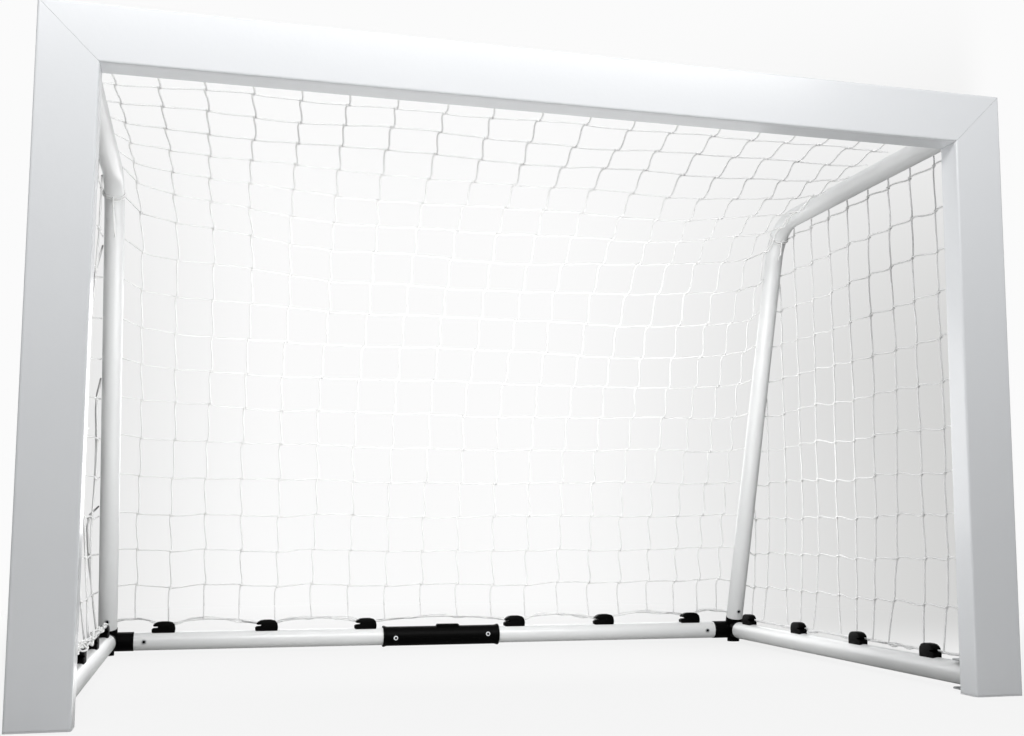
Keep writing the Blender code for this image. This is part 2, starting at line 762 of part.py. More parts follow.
def edge_rows():
    """Where each row of the net crosses the outside of a bow, as (0, depth, z)."""
    leg_stop = (border_height - ground_bar_height - net_stand_off * math.sin(leg_lean)) / math.cos(leg_lean)
    outline = bow_path(hook_cord_depth, leg_stop, net_stand_off, bend_row_count)[0]
    start, bend, foot = outline[0], outline[1:-1], outline[-1]
    rows = [start.lerp(bend[0], i / roof_row_count) for i in range(roof_row_count)]
    rows += bend
    rows += [bend[-1].lerp(foot, (i + 1) / leg_row_count) for i in range(leg_row_count)]
    return rows


def middle_rows():
    """Where each row of the net crosses the middle of the goal: a quarter of a superellipse."""
    span = rear_bar_depth + border_offset - hook_cord_depth
    drop = net_front_height - border_height
    power = 2 / net_middle_fullness
    line = []
    for step in range(61):
        turn = step / 60 * math.pi / 2
        line.append(Vector((0, hook_cord_depth + span * math.sin(turn) ** power,
                            border_height + drop * max(math.cos(turn), 0.0) ** power)))
    return [along_path(line, row / net_rows) for row in range(net_rows + 1)]


row_edges = edge_rows()
row_middles = middle_rows()
bow_line = bow_path(hook_cord_depth, leg_arm, 0.0, 14)[0]


def net_point(across, row):
    """A point of the net over the roof and the back; across is -1 at the left bow and 1 at the right.

    Beside the bows the net follows them. Between them it takes the rounder way of its middle line.
    """
    pull = abs(across) ** (net_bow_pull + net_hem_pull * (row / net_rows) ** 6)
    point = row_middles[row].lerp(row_edges[row], pull)
    tuck = net_front_tuck if row == 0 else 0.0
    return at(across * (side_frame_x - tuck), point.y, point.z)


def lattice(points, frames, open_end=0.0):
    """A net of square cords: a knot at each point and a bar between neighbours.

    A frame holds the knot's two directions: from row to row and within its row.
    open_end leaves out the last row's own bars and stops the bars that lead to it short by that length.
    """
    bm = bmesh.new()
    half = cord_size / 2
    rows = len(points)
    columns = len(points[0])
    knots = []
    for i in range(rows):
        for j in range(columns):
            along, across = frames[i][j]
            normal = along.cross(across).normalized()
            centre = points[i][j]
            if open_end and i == rows - 1:
                centre = centre - along * (open_end + half)
            corner = {}
            for a in (-1, 1):
                for c in (-1, 1):
                    for n in (-1, 1):
                        away = a * along + c * across + n * normal
                        corner[a, c, n] = bm.verts.new(centre + half * away)
            knots.append(corner)

    def knot(i, j):
        return knots[i * columns + j]

    for i in range(rows):
        for j in range(columns):
            k = knot(i, j)
            for n in (-1, 1):
                bm.faces.new((k[-1, -1, n], k[1, -1, n], k[1, 1, n], k[-1, 1, n]))
            last = open_end and i == rows - 1
            sides = [((1, 0), i + 1 < rows), ((-1, 0), i > 0),
                     ((0, 1), j + 1 < columns and not last), ((0, -1), j > 0 and not last)]
            for (a, c), linked in sides:
                mine = [(a or s, c or s, n) for s, n in ((-1, -1), (1, -1), (1, 1), (-1, 1))]
                if not linked:
                    bm.faces.new([k[key] for key in mine])
                elif a == 1 or c == 1:
                    other = knot(i + (a == 1), j + (c == 1))
                    theirs = [(-a or s, -c or s, n) for s, n in ((-1, -1), (1, -1), (1, 1), (-1, 1))]
                    for p in range(4):
                        q = (p + 1) % 4
                        bm.faces.new((k[mine[p]], k[mine[q]], other[theirs[q]], other[theirs[p]]))
    bmesh.ops.recalc_face_normals(bm, faces=bm.faces)
    return bm


def surface_frames(points):
    """The two directions at each point of the roof and back net, from its neighbours.

    The front cord lies level behind the crossbar and the border cord upright behind the clips.
    """
    frames = []
    last = len(points) - 1
    for i in range(len(points)):
        row = []
        for j in range(len(points[0])):
            if i in (0, last):
                down = Y_AXIS if i == 0 else -Z_AXIS
            else:
                down = (points[i + 1][j] - points[i - 1][j]).normalized()
            across = points[i][min(j + 1, len(points[0]) - 1)] - points[i][max(j - 1, 0)]
            row.append((down, (across - down * across.dot(down)).normalized()))
        frames.append(row)
    return frames


main_net_points = [[net_point(-1 + 2 * j / net_columns, i) for j in range(net_columns + 1)]
                   for i in range(net_rows + 1)]
main_net_frames = surface_frames(main_net_points)


def net_strip(first, last):
    """One strip of the roof and back net between two of its rows."""
    open_end = 0.0 if last == net_rows else cord_size / 2 + seat_gap
    return lattice(main_net_points[first:last + 1], main_net_frames[first:last + 1], open_end)


def side_net(side):
    """One side net: outside the bow and the leg, drawn in at its foot behind the clips."""
    foot_x = side_frame_x + border_offset
    bend_middle = len(bow_line) // 2
    top_path = bow_line[:bend_middle + 1]
    corner = bow_line[bend_middle]
    foot_rear = rear_bar_depth - side_arm - spigot_length / 2
    rear_path = bow_line[:bend_middle - 1:-1]
    rear_path[0] = corner_point + leg_up * (side_cell_height * 1.6)
    rear_path = [Vector((0, foot_rear, border_height))] + rear_path
    points = []
    for i in range(side_columns + 1):
        u = i / side_columns
        column = []
        for j in range(side_rows + 1):
            v = j / side_rows
            bottom = Vector((0, hook_cord_depth + u * (foot_rear - hook_cord_depth), border_height))
            top = along_path(top_path, u)
            front = Vector((0, hook_cord_depth, border_height + v * (bow_height - border_height)))
            rear = along_path(rear_path, v)
            corners = ((1 - u) * (1 - v) * Vector((0, hook_cord_depth, border_height))
                       + u * (1 - v) * Vector((0, foot_rear, border_height))
                       + (1 - u) * v * Vector((0, hook_cord_depth, bow_height)) + u * v * corner)
            flat = (1 - v) * bottom + v * top + (1 - u) * front + u * rear - corners
            x = foot_x if j == 0 else net_side_x
            column.append(at(side * x, flat.y, flat.z))
        points.append(column)
    frames = [[(Y_AXIS, Z_AXIS)] * (side_rows + 1)] * (side_columns + 1)
    return lattice(points, frames)


# Assembly
for side, label in ((-1, "left"), (1, "right")):
    piece("%s_post" % label, post(side), white_coat)
    piece("%s_post_end_cap" % label, end_cap(side), cap_plastic)
    piece("%s_angle_plate" % label, angle_plate(side), zinc_steel)
    for (x, z), member in zip(plate_screws(side), ("post", "crossbar")):
        piece("%s_%s_plate_screw" % (label, member), plate_screw(x, z), zinc_steel)
    for height, level in ((bow_height, "top"), (ground_bar_height, "foot")):
        piece("%s_%s_bracket" % (label, level), u_bracket(side, height), zinc_steel)
        piece("%s_%s_bolt" % (label, level), bracket_bolt(side, height), zinc_steel)
        behind = seat_gap + plate_thickness if level == "top" else 0.0
        grip = seat_gap + bracket_thickness + seat_gap + profile_wall + behind
        for number, (x, z) in enumerate(bracket_rivets(side, height), start=1):
            rivet = blind_rivet(at(x, bracket_base_back + seat_gap, z), -Y_AXIS, grip)
            piece("%s_%s_bracket_rivet_%d" % (label, level, number), rivet, zinc_steel)
    piece("%s_bow" % label, bow(side), tube_coat)
    piece("%s_ground_bar" % label, ground_bar(side), tube_coat)
    piece("%s_corner_joint" % label, corner_joint(side), black_plastic)
    piece("%s_bow_screw" % label, corner_screw(side, "leg"), zinc_steel)
    piece("%s_rear_bar_screw" % label, corner_screw(side, "rear"), zinc_steel)
    piece("%s_rear_bar" % label, rear_bar(side), tube_coat)
    piece("%s_sleeve_rivet" % label, sleeve_rivet(side), zinc_steel)
    piece("%s_side_net" % label, side_net(side), net_cord)
piece("crossbar", crossbar(), white_coat)
piece("centre_sleeve", centre_sleeve(), black_plastic)
make_clips()
strip_names = ("net_roof", "net_upper_back", "net_middle_back", "net_lower_back")
for number, name in enumerate(strip_names):
    piece(name, net_strip(number * strip_row_count, (number + 1) * strip_row_count), net_cord)
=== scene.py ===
# %% [markdown]
# # A mini soccer goal, dressed for its photograph
# The rigid parts of the goal come ready made: posts, crossbar, bent side bows, ground bars,
# joints, clips and screws are solids with their own names. This lesson gives each of them the
# finish it has on the real goal. It also ties the net, which no rigid solid can show.
# Lengths are in metres. X runs along the crossbar, -Y is the side the ball comes from, Z is up.

# %% Load the goal
import math

import bpy
from mathutils import Matrix, Vector, noise


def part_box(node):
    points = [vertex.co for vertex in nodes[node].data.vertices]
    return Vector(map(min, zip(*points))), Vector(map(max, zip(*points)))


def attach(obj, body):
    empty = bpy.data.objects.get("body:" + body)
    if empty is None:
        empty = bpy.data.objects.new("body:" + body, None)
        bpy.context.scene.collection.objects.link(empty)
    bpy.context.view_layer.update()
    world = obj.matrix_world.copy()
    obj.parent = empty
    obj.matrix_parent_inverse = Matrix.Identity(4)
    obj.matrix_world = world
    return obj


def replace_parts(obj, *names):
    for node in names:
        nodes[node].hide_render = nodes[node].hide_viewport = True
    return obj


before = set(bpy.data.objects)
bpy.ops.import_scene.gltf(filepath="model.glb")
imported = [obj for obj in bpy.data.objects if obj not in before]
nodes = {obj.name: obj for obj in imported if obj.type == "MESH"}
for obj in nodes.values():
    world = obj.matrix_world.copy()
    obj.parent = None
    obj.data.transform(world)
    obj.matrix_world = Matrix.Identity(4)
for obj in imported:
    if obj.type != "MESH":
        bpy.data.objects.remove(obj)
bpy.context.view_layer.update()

# %% [markdown]
# ## Where things are
# The net hangs on the solids, so it needs a few of their places. They are read from the solids
# where a box gives them. The others are the goal maker's own sizes: the bend radius of the bow,
# the height of its level run, how far its corner stands in front of the rear bar, and how far
# outside a bar's axis a clip holds the hem of the net.

# %% The goal's own sizes
crossbar_low, crossbar_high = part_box("crossbar")
front_y = crossbar_low[1]
rear_bar_depth = 1.200
profile_depth = crossbar_high[1] - crossbar_low[1]
side_frame_x = 0.837
tube_radius = 0.0225
bow_height = 1.115
bow_corner_depth = 0.868
bow_bend_radius = 0.120
ground_bar_height = 0.033
clip_offset = 0.0123
cord_radius = 0.0019
hem_radius = 0.0026


def at(x, depth, z):
    """A point given by its distance behind the goal's front face."""
    return Vector((x, front_y + depth, z))


def evenly(low, high, parts):
    """Evenly spaced numbers from low to high, both ends included."""
    return [low + (high - low) * k / parts for k in range(parts + 1)]


print("Front face at y = %.4f, profile %.0f mm deep" % (front_y, profile_depth * 1000))

# %% [markdown]
# ## The camera
# The photograph was taken low, a little left of the middle, with the lens tilted up. Its place and
# turn come from fitting a pinhole camera to the corners and edges of the front frame and to the
# outlines of the tubes. The picture's middle isn't on the lens axis, and the small shift says so.

# %% Place the camera
image_width, image_height = 1024, 736
focal_pixels, centre_x, centre_y = 1231.27, 536.36, 390.46
yaw, pitch, roll = 0.2589, 0.1120, 0.0016
camera_place = Vector((-0.6048, -2.6834, 0.3131))
forward = Vector((math.sin(yaw) * math.cos(pitch), math.cos(yaw) * math.cos(pitch), math.sin(pitch)))
right = Vector((math.cos(yaw), -math.sin(yaw), 0))
up = right.cross(forward)
turned_right = right * math.cos(roll) + up * math.sin(roll)
turned_up = up * math.cos(roll) - right * math.sin(roll)
lens = bpy.data.cameras.new("photo camera")
lens.sensor_width = 36
lens.lens = focal_pixels * lens.sensor_width / image_width
lens.shift_x = (image_width / 2 - centre_x) / image_width
lens.shift_y = (centre_y - image_height / 2) / image_width
camera = bpy.data.objects.new("photo camera", lens)
camera.matrix_world = Matrix.LocRotScale(
    camera_place, Matrix((turned_right, turned_up, -forward)).transposed(), None)
bpy.context.collection.objects.link(camera)
bpy.context.scene.camera = camera
print("Lens %.2f mm on a %.0f mm sensor" % (lens.lens, lens.sensor_width))

# %% [markdown]
# ## Helpers for materials
# A material here is a small graph of nodes. One function adds a node, sets its values and links
# it, and a second one turns a colour as a painter would name it, in sRGB, to the linear numbers
# that the renderer works with. The others are the steps that all the materials share.


# %% Colour and node helpers
def colour(code):
    """A colour written as sRGB hex, as linear RGBA."""
    values = [int(code[i:i + 2], 16) / 255 for i in (1, 3, 5)]
    linear = [v / 12.92 if v <= 0.04045 else ((v + 0.055) / 1.055) ** 2.4 for v in values]
    return (*linear, 1.0)


def add(tree, kind, settings=None, links=None):
    """Add a node to a tree. Settings are properties or input values, links are input to output."""
    node = tree.nodes.new(kind)
    for name, value in (settings or {}).items():
        if isinstance(name, str) and hasattr(node, name):
            setattr(node, name, value)
        else:
            node.inputs[name].default_value = value
    for name, output in (links or {}).items():
        tree.links.new(output, node.inputs[name])
    return node


def new_material(name):
    """An empty material and its tree."""
    material = bpy.data.materials.new(name)
    material.use_nodes = True
    material.node_tree.nodes.clear()
    return material, material.node_tree


def object_place(tree):
    """The place on the object that textures follow."""
    return add(tree, "ShaderNodeTexCoord").outputs["Object"]


def clouds(tree, place, size, detail, roughness=0.5):
    """Noise with clouds of a size in metres."""
    return add(tree, "ShaderNodeTexNoise", {"Scale": 1 / size, "Detail": detail, "Roughness": roughness},
               {"Vector": place}).outputs["Fac"]


def tone_between(tree, factor, first, second):
    """A colour between two, by a factor."""
    tones = {"data_type": "RGBA", 6: colour(first), 7: colour(second)}
    return add(tree, "ShaderNodeMix", tones, {0: factor}).outputs[2]


def value_between(tree, factor, low, high):
    """A number between two, by a factor."""
    return add(tree, "ShaderNodeMapRange", {"To Min": low, "To Max": high}, {"Value": factor}).outputs[0]


def bumps(tree, height, strength, distance):
    """A surface raised by a height."""
    return add(tree, "ShaderNodeBump", {"Strength": strength, "Distance": distance},
               {"Height": height}).outputs[0]


def surface(tree, settings, links):
    """The shader that a material ends in, and its output."""
    shader = add(tree, "ShaderNodeBsdfPrincipled", settings, links)
    add(tree, "ShaderNodeOutputMaterial", {}, {"Surface": shader.outputs[0]})


print("White is", tuple(round(v, 3) for v in colour("#F4F5F6")))

# %% [markdown]
# ## Studio
# The goal stands in a white product studio. A long strip light in front lights the faces of the
# frame, so that they darken towards the floor. A softbox in the mouth of the goal, one on the
# floor below it, one above the net and one low behind it light the inside. The pale floor shows
# almost white to the camera and still keeps a little of the shadow. The paper behind the goal, and
# the floor far behind it, are painted grey at their two ends as painted shade, which lets the white
# net show. The limits of that painted shade are parts of a direction that starts near the camera:
# X to the right, Y ahead, Z up.

# %% Studio floor, sky and lamps
scene = bpy.context.scene
scene.view_settings.view_transform = "Standard"

# The grey here is painted shade on the paper and the far floor, not their own colour.
backdrop_white, backdrop_painted_shade = "#FBFBFB", "#D1D1D0"
paper_spot = (-0.60, -2.68, 0.31)
ahead_fade = (0.5, 0.8)
right_rise, right_fall = (0.24, 0.60), (0.585, 0.561)
left_rise, left_fall = (0.06, -0.12), (-0.118, -0.103)
left_strength = 0.47
upper_fade, lower_fade = (0.42, 0.10), (-0.105, -0.062)
floor_reach, floor_drop = 40, 0.0006


def band(tree, value, low, high):
    """1 where the value is past high, 0 before low, with a soft step between."""
    limits = {"From Min": low, "From Max": high, "interpolation_type": "SMOOTHSTEP"}
    return add(tree, "ShaderNodeMapRange", limits, {"Value": value}).outputs[0]


def product(tree, *factors):
    """The factors multiplied together."""
    result = factors[0]
    for factor in factors[1:]:
        result = add(tree, "ShaderNodeMath", {"operation": "MULTIPLY"}, {0: result, 1: factor}).outputs[0]
    return result


def paper_with_painted_shade(tree, direction):
    """The paper's colour in a direction: white, with painted shade that is grey at the right end and paler at
    the left.
    """
    level = add(tree, "ShaderNodeVectorMath", {"operation": "MULTIPLY", 1: (1, 1, 0)}, {0: direction})
    level = add(tree, "ShaderNodeVectorMath", {"operation": "NORMALIZE"}, {0: level.outputs["Vector"]})
    flat = add(tree, "ShaderNodeSeparateXYZ", {}, {0: level.outputs["Vector"]})
    across, ahead = flat.outputs["X"], band(tree, flat.outputs["Y"], *ahead_fade)
    aim = add(tree, "ShaderNodeVectorMath", {"operation": "NORMALIZE"}, {0: direction})
    height = add(tree, "ShaderNodeSeparateXYZ", {}, {0: aim.outputs["Vector"]}).outputs["Z"]
    # Both ends are painted shade, the left one paler by left_strength.
    right_end = product(tree, band(tree, across, *right_rise), band(tree, across, *right_fall))
    left_end = product(tree, band(tree, across, *left_rise), band(tree, across, *left_fall))
    paler = add(tree, "ShaderNodeMath", {"operation": "MULTIPLY", 1: left_strength}, {0: left_end})
    ends = add(tree, "ShaderNodeMath", {"operation": "MAXIMUM"}, {0: right_end, 1: paler.outputs[0]})
    painted_shade_amount = product(tree, ends.outputs[0], ahead, band(tree, height, *upper_fade),
                   band(tree, height, *lower_fade))
    return tone_between(tree, painted_shade_amount, backdrop_white, backdrop_painted_shade)


paper, tree = new_material("matt pale studio floor")
place = object_place(tree)
from_spot = add(tree, "ShaderNodeVectorMath", {"operation": "SUBTRACT", 1: paper_spot}, {0: place})
matt = add(tree, "ShaderNodeBsdfDiffuse", {"Color": colour("#B6B6B5")})
# Camera rays see this tone, painted shade included, and a little of the matt floor's real shadow near the
# goal.
lit = add(tree, "ShaderNodeEmission", {"Strength": 1.0},
          {"Color": paper_with_painted_shade(tree, from_spot.outputs["Vector"])})
path = add(tree, "ShaderNodeLightPath")
distance = add(tree, "ShaderNodeVectorMath", {"operation": "LENGTH"}, {0: place})
fade = add(tree, "ShaderNodeMapRange", {"From Min": 0.9, "From Max": 2.6, "To Min": 0.90, "To Max": 1.0,
                                        "interpolation_type": "SMOOTHSTEP"},
           {"Value": distance.outputs["Value"]})
seen = add(tree, "ShaderNodeMath", {"operation": "MULTIPLY"},
           {0: path.outputs["Is Camera Ray"], 1: fade.outputs[0]})
mixed = add(tree, "ShaderNodeMixShader", {},
            {0: seen.outputs[0], 1: matt.outputs[0], 2: lit.outputs[0]})
add(tree, "ShaderNodeOutputMaterial", {}, {"Surface": mixed.outputs[0]})
floor_mesh = bpy.data.meshes.new("studio floor")
floor_corners = [(x * floor_reach, y * floor_reach, 0) for x, y in ((-1, -1), (1, -1), (1, 1), (-1, 1))]
floor_mesh.from_pydata(floor_corners, [], [(0, 1, 2, 3)])
floor_mesh.materials.append(paper)
floor = bpy.data.objects.new("studio floor", floor_mesh)
floor.location.z = -floor_drop
bpy.context.collection.objects.link(floor)

sky = bpy.data.worlds.new("studio sky")
scene.world = sky
sky.use_nodes = True
tree = sky.node_tree
tree.nodes.clear()
path = add(tree, "ShaderNodeLightPath")
direction = add(tree, "ShaderNodeTexCoord").outputs["Generated"]
behind = add(tree, "ShaderNodeVectorMath", {"operation": "DOT_PRODUCT", 1: (0.0, 1.0, -0.5)},
             {0: direction})
glow = add(tree, "ShaderNodeMapRange",
           {"From Min": -0.3, "From Max": 0.7, "To Min": 0.12, "To Max": 0.80},
           {"Value": behind.outputs["Value"]})
fill = add(tree, "ShaderNodeBackground", {"Color": colour("#F8F9FA")}, {"Strength": glow.outputs[0]})
# Camera rays see the paper's white with its painted shade; all other rays get the fill light.
white = add(tree, "ShaderNodeBackground", {"Strength": 1.0}, {"Color": paper_with_painted_shade(tree, direction)})
mixed = add(tree, "ShaderNodeMixShader", {},
            {0: path.outputs["Is Camera Ray"], 1: fill.outputs[0], 2: white.outputs[0]})
add(tree, "ShaderNodeOutputWorld", {}, {"Surface": mixed.outputs[0]})


def softbox(name, place, target, size, watts):
    """A rectangular area light that faces a point."""
    lamp = bpy.data.lights.new(name, "AREA")
    lamp.shape = "RECTANGLE"
    lamp.size, lamp.size_y = size
    lamp.energy = watts
    light = bpy.data.objects.new(name, lamp)
    light.visible_camera = False
    light.location = place
    light.rotation_euler = (Vector(target) - Vector(place)).to_track_quat("-Z", "Y").to_euler()
    bpy.context.collection.objects.link(light)


softbox("front strip", (-0.20, front_y - 1.35, 2.05), (-0.1, front_y + 0.25, 0.5), (3.2, 0.6), 43)
softbox("mouth softbox", (0.05, front_y + 0.42, 0.60), (0.02, front_y + 1.3, 0.50), (1.2, 0.4), 6.5)
softbox("low softbox", (-0.15, front_y + 0.30, 0.03), (-0.15, front_y + 0.20, 1.2), (1.2, 0.4), 3.6)
softbox("top softbox", (-0.1, front_y + 0.75, 2.2), (-0.1, front_y + 0.70, 0.0), (2.0, 0.9), 9)
softbox("back softbox", (0.2, 1.9, 0.75), (0.0, front_y, 0.9), (2.6, 0.9), 14)
print("Studio ready: floor, sky and five softboxes")

# %% [markdown]
# ## White powder coat
# Posts and crossbar are aluminium profiles with a gloss white polyester powder, baked on. The eye
# sees a clean white, soft reflections, and the faint orange-peel ripple that every powder coat
# has. The real ripple is about 3 mm long. It is drawn at 9 mm, because a pixel covers 2 mm here.


# %% Make the coats
def powder_coat(name, white_tone, shade_tone, roughness, peel_size, cloud_size=0.35):
    """A baked powder coat with orange peel and slight changes in tone."""
    material, tree = new_material(name)
    place = object_place(tree)
    cloud = clouds(tree, place, cloud_size, 2.0)
    peel = clouds(tree, place, peel_size, 1.5, 0.4)
    surface(tree, {"IOR": 1.50, "Coat Weight": 0.25, "Coat Roughness": 0.12},
            {"Base Color": tone_between(tree, cloud, white_tone, shade_tone),
             "Roughness": value_between(tree, cloud, roughness - 0.03, roughness + 0.05),
             "Normal": bumps(tree, peel, 0.25, 0.0004)})
    return material


gloss_coat = powder_coat("gloss white powder coat", "#F3F5F7", "#ECEEF1", 0.24, 0.009)
tube_coat = powder_coat("semi gloss white powder coat", "#E9EAEA", "#E1E2E2", 0.34, 0.007)
cap_plastic = powder_coat("moulded white polyethylene", "#E9EAEC", "#DFE1E3", 0.42, 0.005)
print("Made", gloss_coat.name, "and", tube_coat.name)

# %% [markdown]
# ## Black moulded plastic
# Corner joints, centre sleeve and net clips are injection moulded from black polypropylene. The
# mould is spark eroded, which leaves a fine pebbled grain that breaks the highlights up.


# %% Make the moulded plastic
def moulded_plastic(name, base, worn, roughness, grain_size, rub_size=0.02):
    """Injection moulded plastic with spark-eroded grain and slightly rubbed high spots."""
    material, tree = new_material(name)
    place = object_place(tree)
    pebble = add(tree, "ShaderNodeTexVoronoi", {"Scale": 1 / grain_size}, {"Vector": place})
    rub = clouds(tree, place, rub_size, 4.0)
    surface(tree, {"IOR": 1.49, "Specular IOR Level": 0.05},
            {"Base Color": tone_between(tree, rub, base, worn),
             "Roughness": value_between(tree, rub, roughness - 0.06, roughness + 0.08),
             "Normal": bumps(tree, pebble.outputs["Distance"], 0.35, 0.0003)})
    return material


black_plastic = moulded_plastic("black polypropylene", "#020202", "#050505", 0.44, 0.0016)
print("Made", black_plastic.name)

# %% [markdown]
# ## Bright zinc
# Screws, rivets, bolts and brackets are steel with a bright electroplated zinc coat: a slightly
# blue-grey metal, smooth, with clouds of duller plating.


# %% Make the zinc
def zinc_plate(name, bright, dull, roughness, cloud_size=0.006):
    """Electroplated zinc on steel, with duller clouds a few millimetres across."""
    material, tree = new_material(name)
    cloud = clouds(tree, object_place(tree), cloud_size, 5.0)
    surface(tree, {"Metallic": 1.0},
            {"Base Color": tone_between(tree, cloud, bright, dull),
             "Roughness": value_between(tree, cloud, roughness - 0.08, roughness + 0.10)})
    return material


bright_zinc = zinc_plate("bright zinc plated steel", "#C9CBCC", "#A9ABAD", 0.30)
print("Made", bright_zinc.name)

# %% [markdown]
# ## Finish every solid
# Each solid gets the material that its name calls for. The tubes, the sleeve, the clips, the
# heads and the net are replaced by finer pieces further on. The others show as they are.

# %% Give the solids their materials
finishes = (
    (("_post", "crossbar"), gloss_coat),
    (("_end_cap",), cap_plastic),
    (("_bow", "_ground_bar", "_rear_bar"), tube_coat),
    (("corner_joint", "centre_sleeve") + tuple("clip_%d" % i for i in range(1, 7)), black_plastic),
)
for name, node in nodes.items():
    chosen = bright_zinc
    for endings, material in finishes:
        if name.endswith(endings):
            chosen = material
    for place in node.material_slots:
        place.material = chosen
print("Finished", len(nodes), "solids")

# %% [markdown]
# ## The shape of the net
# The net is one bag of knotted cord. It hangs from hooks behind the crossbar and runs over the
# two bows, and its hem is caught by the clips on the rear bar. Beside the bows it follows them
# closely. In the middle nothing holds it, so it cuts the corner from crossbar to hem as a slack
# line, which a superellipse draws well: exponent 1 would be straight, 2 an ellipse and 4 a box.


# %% Bow line and slack line
leg_run, leg_drop = rear_bar_depth - bow_corner_depth, bow_height - ground_bar_height
leg_lean = math.atan2(leg_run, leg_drop)
bend_turn = math.pi / 2 - leg_lean
bend_reach = bow_bend_radius * math.tan(bend_turn / 2)
bend_length = bow_bend_radius * bend_turn
hook_depth = profile_depth + 0.0023
run_length = bow_corner_depth - bend_reach - hook_depth
leg_length = math.hypot(leg_run, leg_drop) - bend_reach
bow_length = run_length + bend_length + leg_length


def bow_station(length):
    """A place on the bow's axis, as its (depth, z) and the direction that points out of the goal."""
    if length < run_length:
        return Vector((hook_depth + length, bow_height)), Vector((0, 1))
    turn = min((length - run_length) / bow_bend_radius, bend_turn)
    centre = Vector((bow_corner_depth - bend_reach, bow_height - bow_bend_radius))
    outward = Vector((math.sin(turn), math.cos(turn)))
    point = centre + outward * bow_bend_radius
    if length > run_length + bend_length:
        point += Vector((math.sin(leg_lean), -math.cos(leg_lean))) * (length - run_length - bend_length)
    return point, outward


hem_height = 0.0645
hem_depth = rear_bar_depth + clip_offset
net_top = bow_height + 0.033
bow_net_length = bow_length - 0.036
fullness = 2.3
slack_parts = 200
slack_line = []
for step in range(slack_parts + 1):
    turn = step / slack_parts * math.pi / 2
    depth = hook_depth + (hem_depth - hook_depth) * math.sin(turn) ** (2 / fullness)
    height = hem_height + (net_top - hem_height) * max(math.cos(turn), 0) ** (2 / fullness)
    slack_line.append(Vector((depth, height)))
slack_steps = [0.0]
for a, b in zip(slack_line, slack_line[1:]):
    slack_steps.append(slack_steps[-1] + (b - a).length)


def slack_station(share):
    """A place on the slack middle line at a share of its length, as (depth, z)."""
    wanted = share * slack_steps[-1]
    index = next((i for i, s in enumerate(slack_steps) if s >= wanted), len(slack_line) - 1)
    if index == 0:
        return slack_line[0].copy()
    before = slack_steps[index - 1]
    part = (wanted - before) / (slack_steps[index] - before)
    return slack_line[index - 1].lerp(slack_line[index], min(part, 1.0))


print("Slack line %.0f mm long, bow line %.0f mm" % (slack_steps[-1] * 1000, bow_net_length * 1000))

# %% [markdown]
# ## Knots of the bag
# The mesh is square and about 92 mm wide. A real net is never even: the cords lean between knots,
# each knot steps a few millimetres to the side where one cord ties into the other, and the hem
# arches up between the clips. The cords stand closer near the bows and drift to the right towards
# the back, by sizes read from the photograph. A smooth noise field moves the knots. Its seed is
# fixed, so that the same net comes out on every run.

# %% Knots and cords of the bag
noise.seed_set(1)
bag_columns, bag_rows = 20, 19
last_cord = 1 - 2 / bag_columns
rear_clip_x = [sum(corner[0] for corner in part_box("rear_net_clip_%d" % i)) / 2 for i in range(1, 7)]
hem_holds = [-side_frame_x] + rear_clip_x + [side_frame_x]
arch_height, arch_from, arch_span = 0.018, 0.72, 0.28
cord_spread, crowding, middle_shift, right_shift = 0.868, 0.067, 0.019, 0.020
drift_size, drift_from, drift_to = 0.039, 0.2, 0.9
top_narrowing, narrow_span = 0.034, 0.25
first_row, wander, wander_size, wander_seed = 0.014, 0.012, 0.22, 3.1


def hem_arch(x):
    """How high the hem stands above its clips at x."""
    for left, right_hold in zip(hem_holds, hem_holds[1:]):
        if left <= x <= right_hold:
            share = (x - left) / (right_hold - left)
            return arch_height * (4 * share * (1 - share)) ** 0.8
    return 0.0


def bag_point(across, down):
    """A point of the bag: across from -1, the left bow, to 1, the right; down from 0, the top, to 1."""
    station, outward = bow_station(down * bow_net_length)
    edge = station + outward * (tube_radius + hem_radius)
    bow_pull = 0.55 * across ** 2 + 0.45 * across ** 14
    depth, z = slack_station(down).lerp(edge, bow_pull)
    even = max(-1.0, min(1.0, across / last_cord))
    drift = drift_size * (min(depth, drift_to) - drift_from) * (1 - 0.6 * max(even, 0))
    x = (cord_spread * even - crowding * even ** 3 + middle_shift * (1 - even ** 2) + drift
         - right_shift * max(even, 0) ** 8)
    width = side_frame_x - top_narrowing * max(0.0, 1 - down / narrow_span)
    if abs(across) > last_cord:
        share = (abs(across) - last_cord) / (1 - last_cord)
        x += (math.copysign(width, across) - x) * share
    z += hem_arch(x) * max(0.0, (down - arch_from) / arch_span) ** 2
    return at(x, depth, z)


def ripple(point, size, seed):
    """A small smooth push that is the same on every run."""
    return noise.noise_vector(point / size + Vector((seed, seed * 0.37, -seed)))


def slack_push(across, down):
    """How far a knot may wander: not at all on the bows, the crossbar and the hem."""
    return (1 - abs(across) ** 6) * math.sin(math.pi * min(max(down, 0.0), 1.0)) ** 0.4


def bag_knot(i, j):
    """The knot in row i and column j, moved a little from its even place."""
    first = first_row if i > 0 else 0.0
    across, down = -1 + 2 * j / bag_columns, first + (1 - first) * i / bag_rows
    point = bag_point(across, down)
    return point + ripple(point, wander_size, wander_seed) * wander * slack_push(across, down)


knots = [[bag_knot(i, j) for j in range(bag_columns + 1)] for i in range(bag_rows + 1)]
middle_row = knots[bag_rows // 2 + 1]
cells = [(b - a).length * 1000 for a, b in zip(middle_row, middle_row[1:])]
print("Middle row: cells from %.0f to %.0f mm wide" % (min(cells), max(cells)))

# %% [markdown]
# Each cord is a line from knot to knot. Down the bag it leaves a knot on the left and meets the
# next one on the right, so it steps back at every knot, and more so at the right of the bag.
# Corners are cut twice, which turns the steps into the soft bends of a real cord.


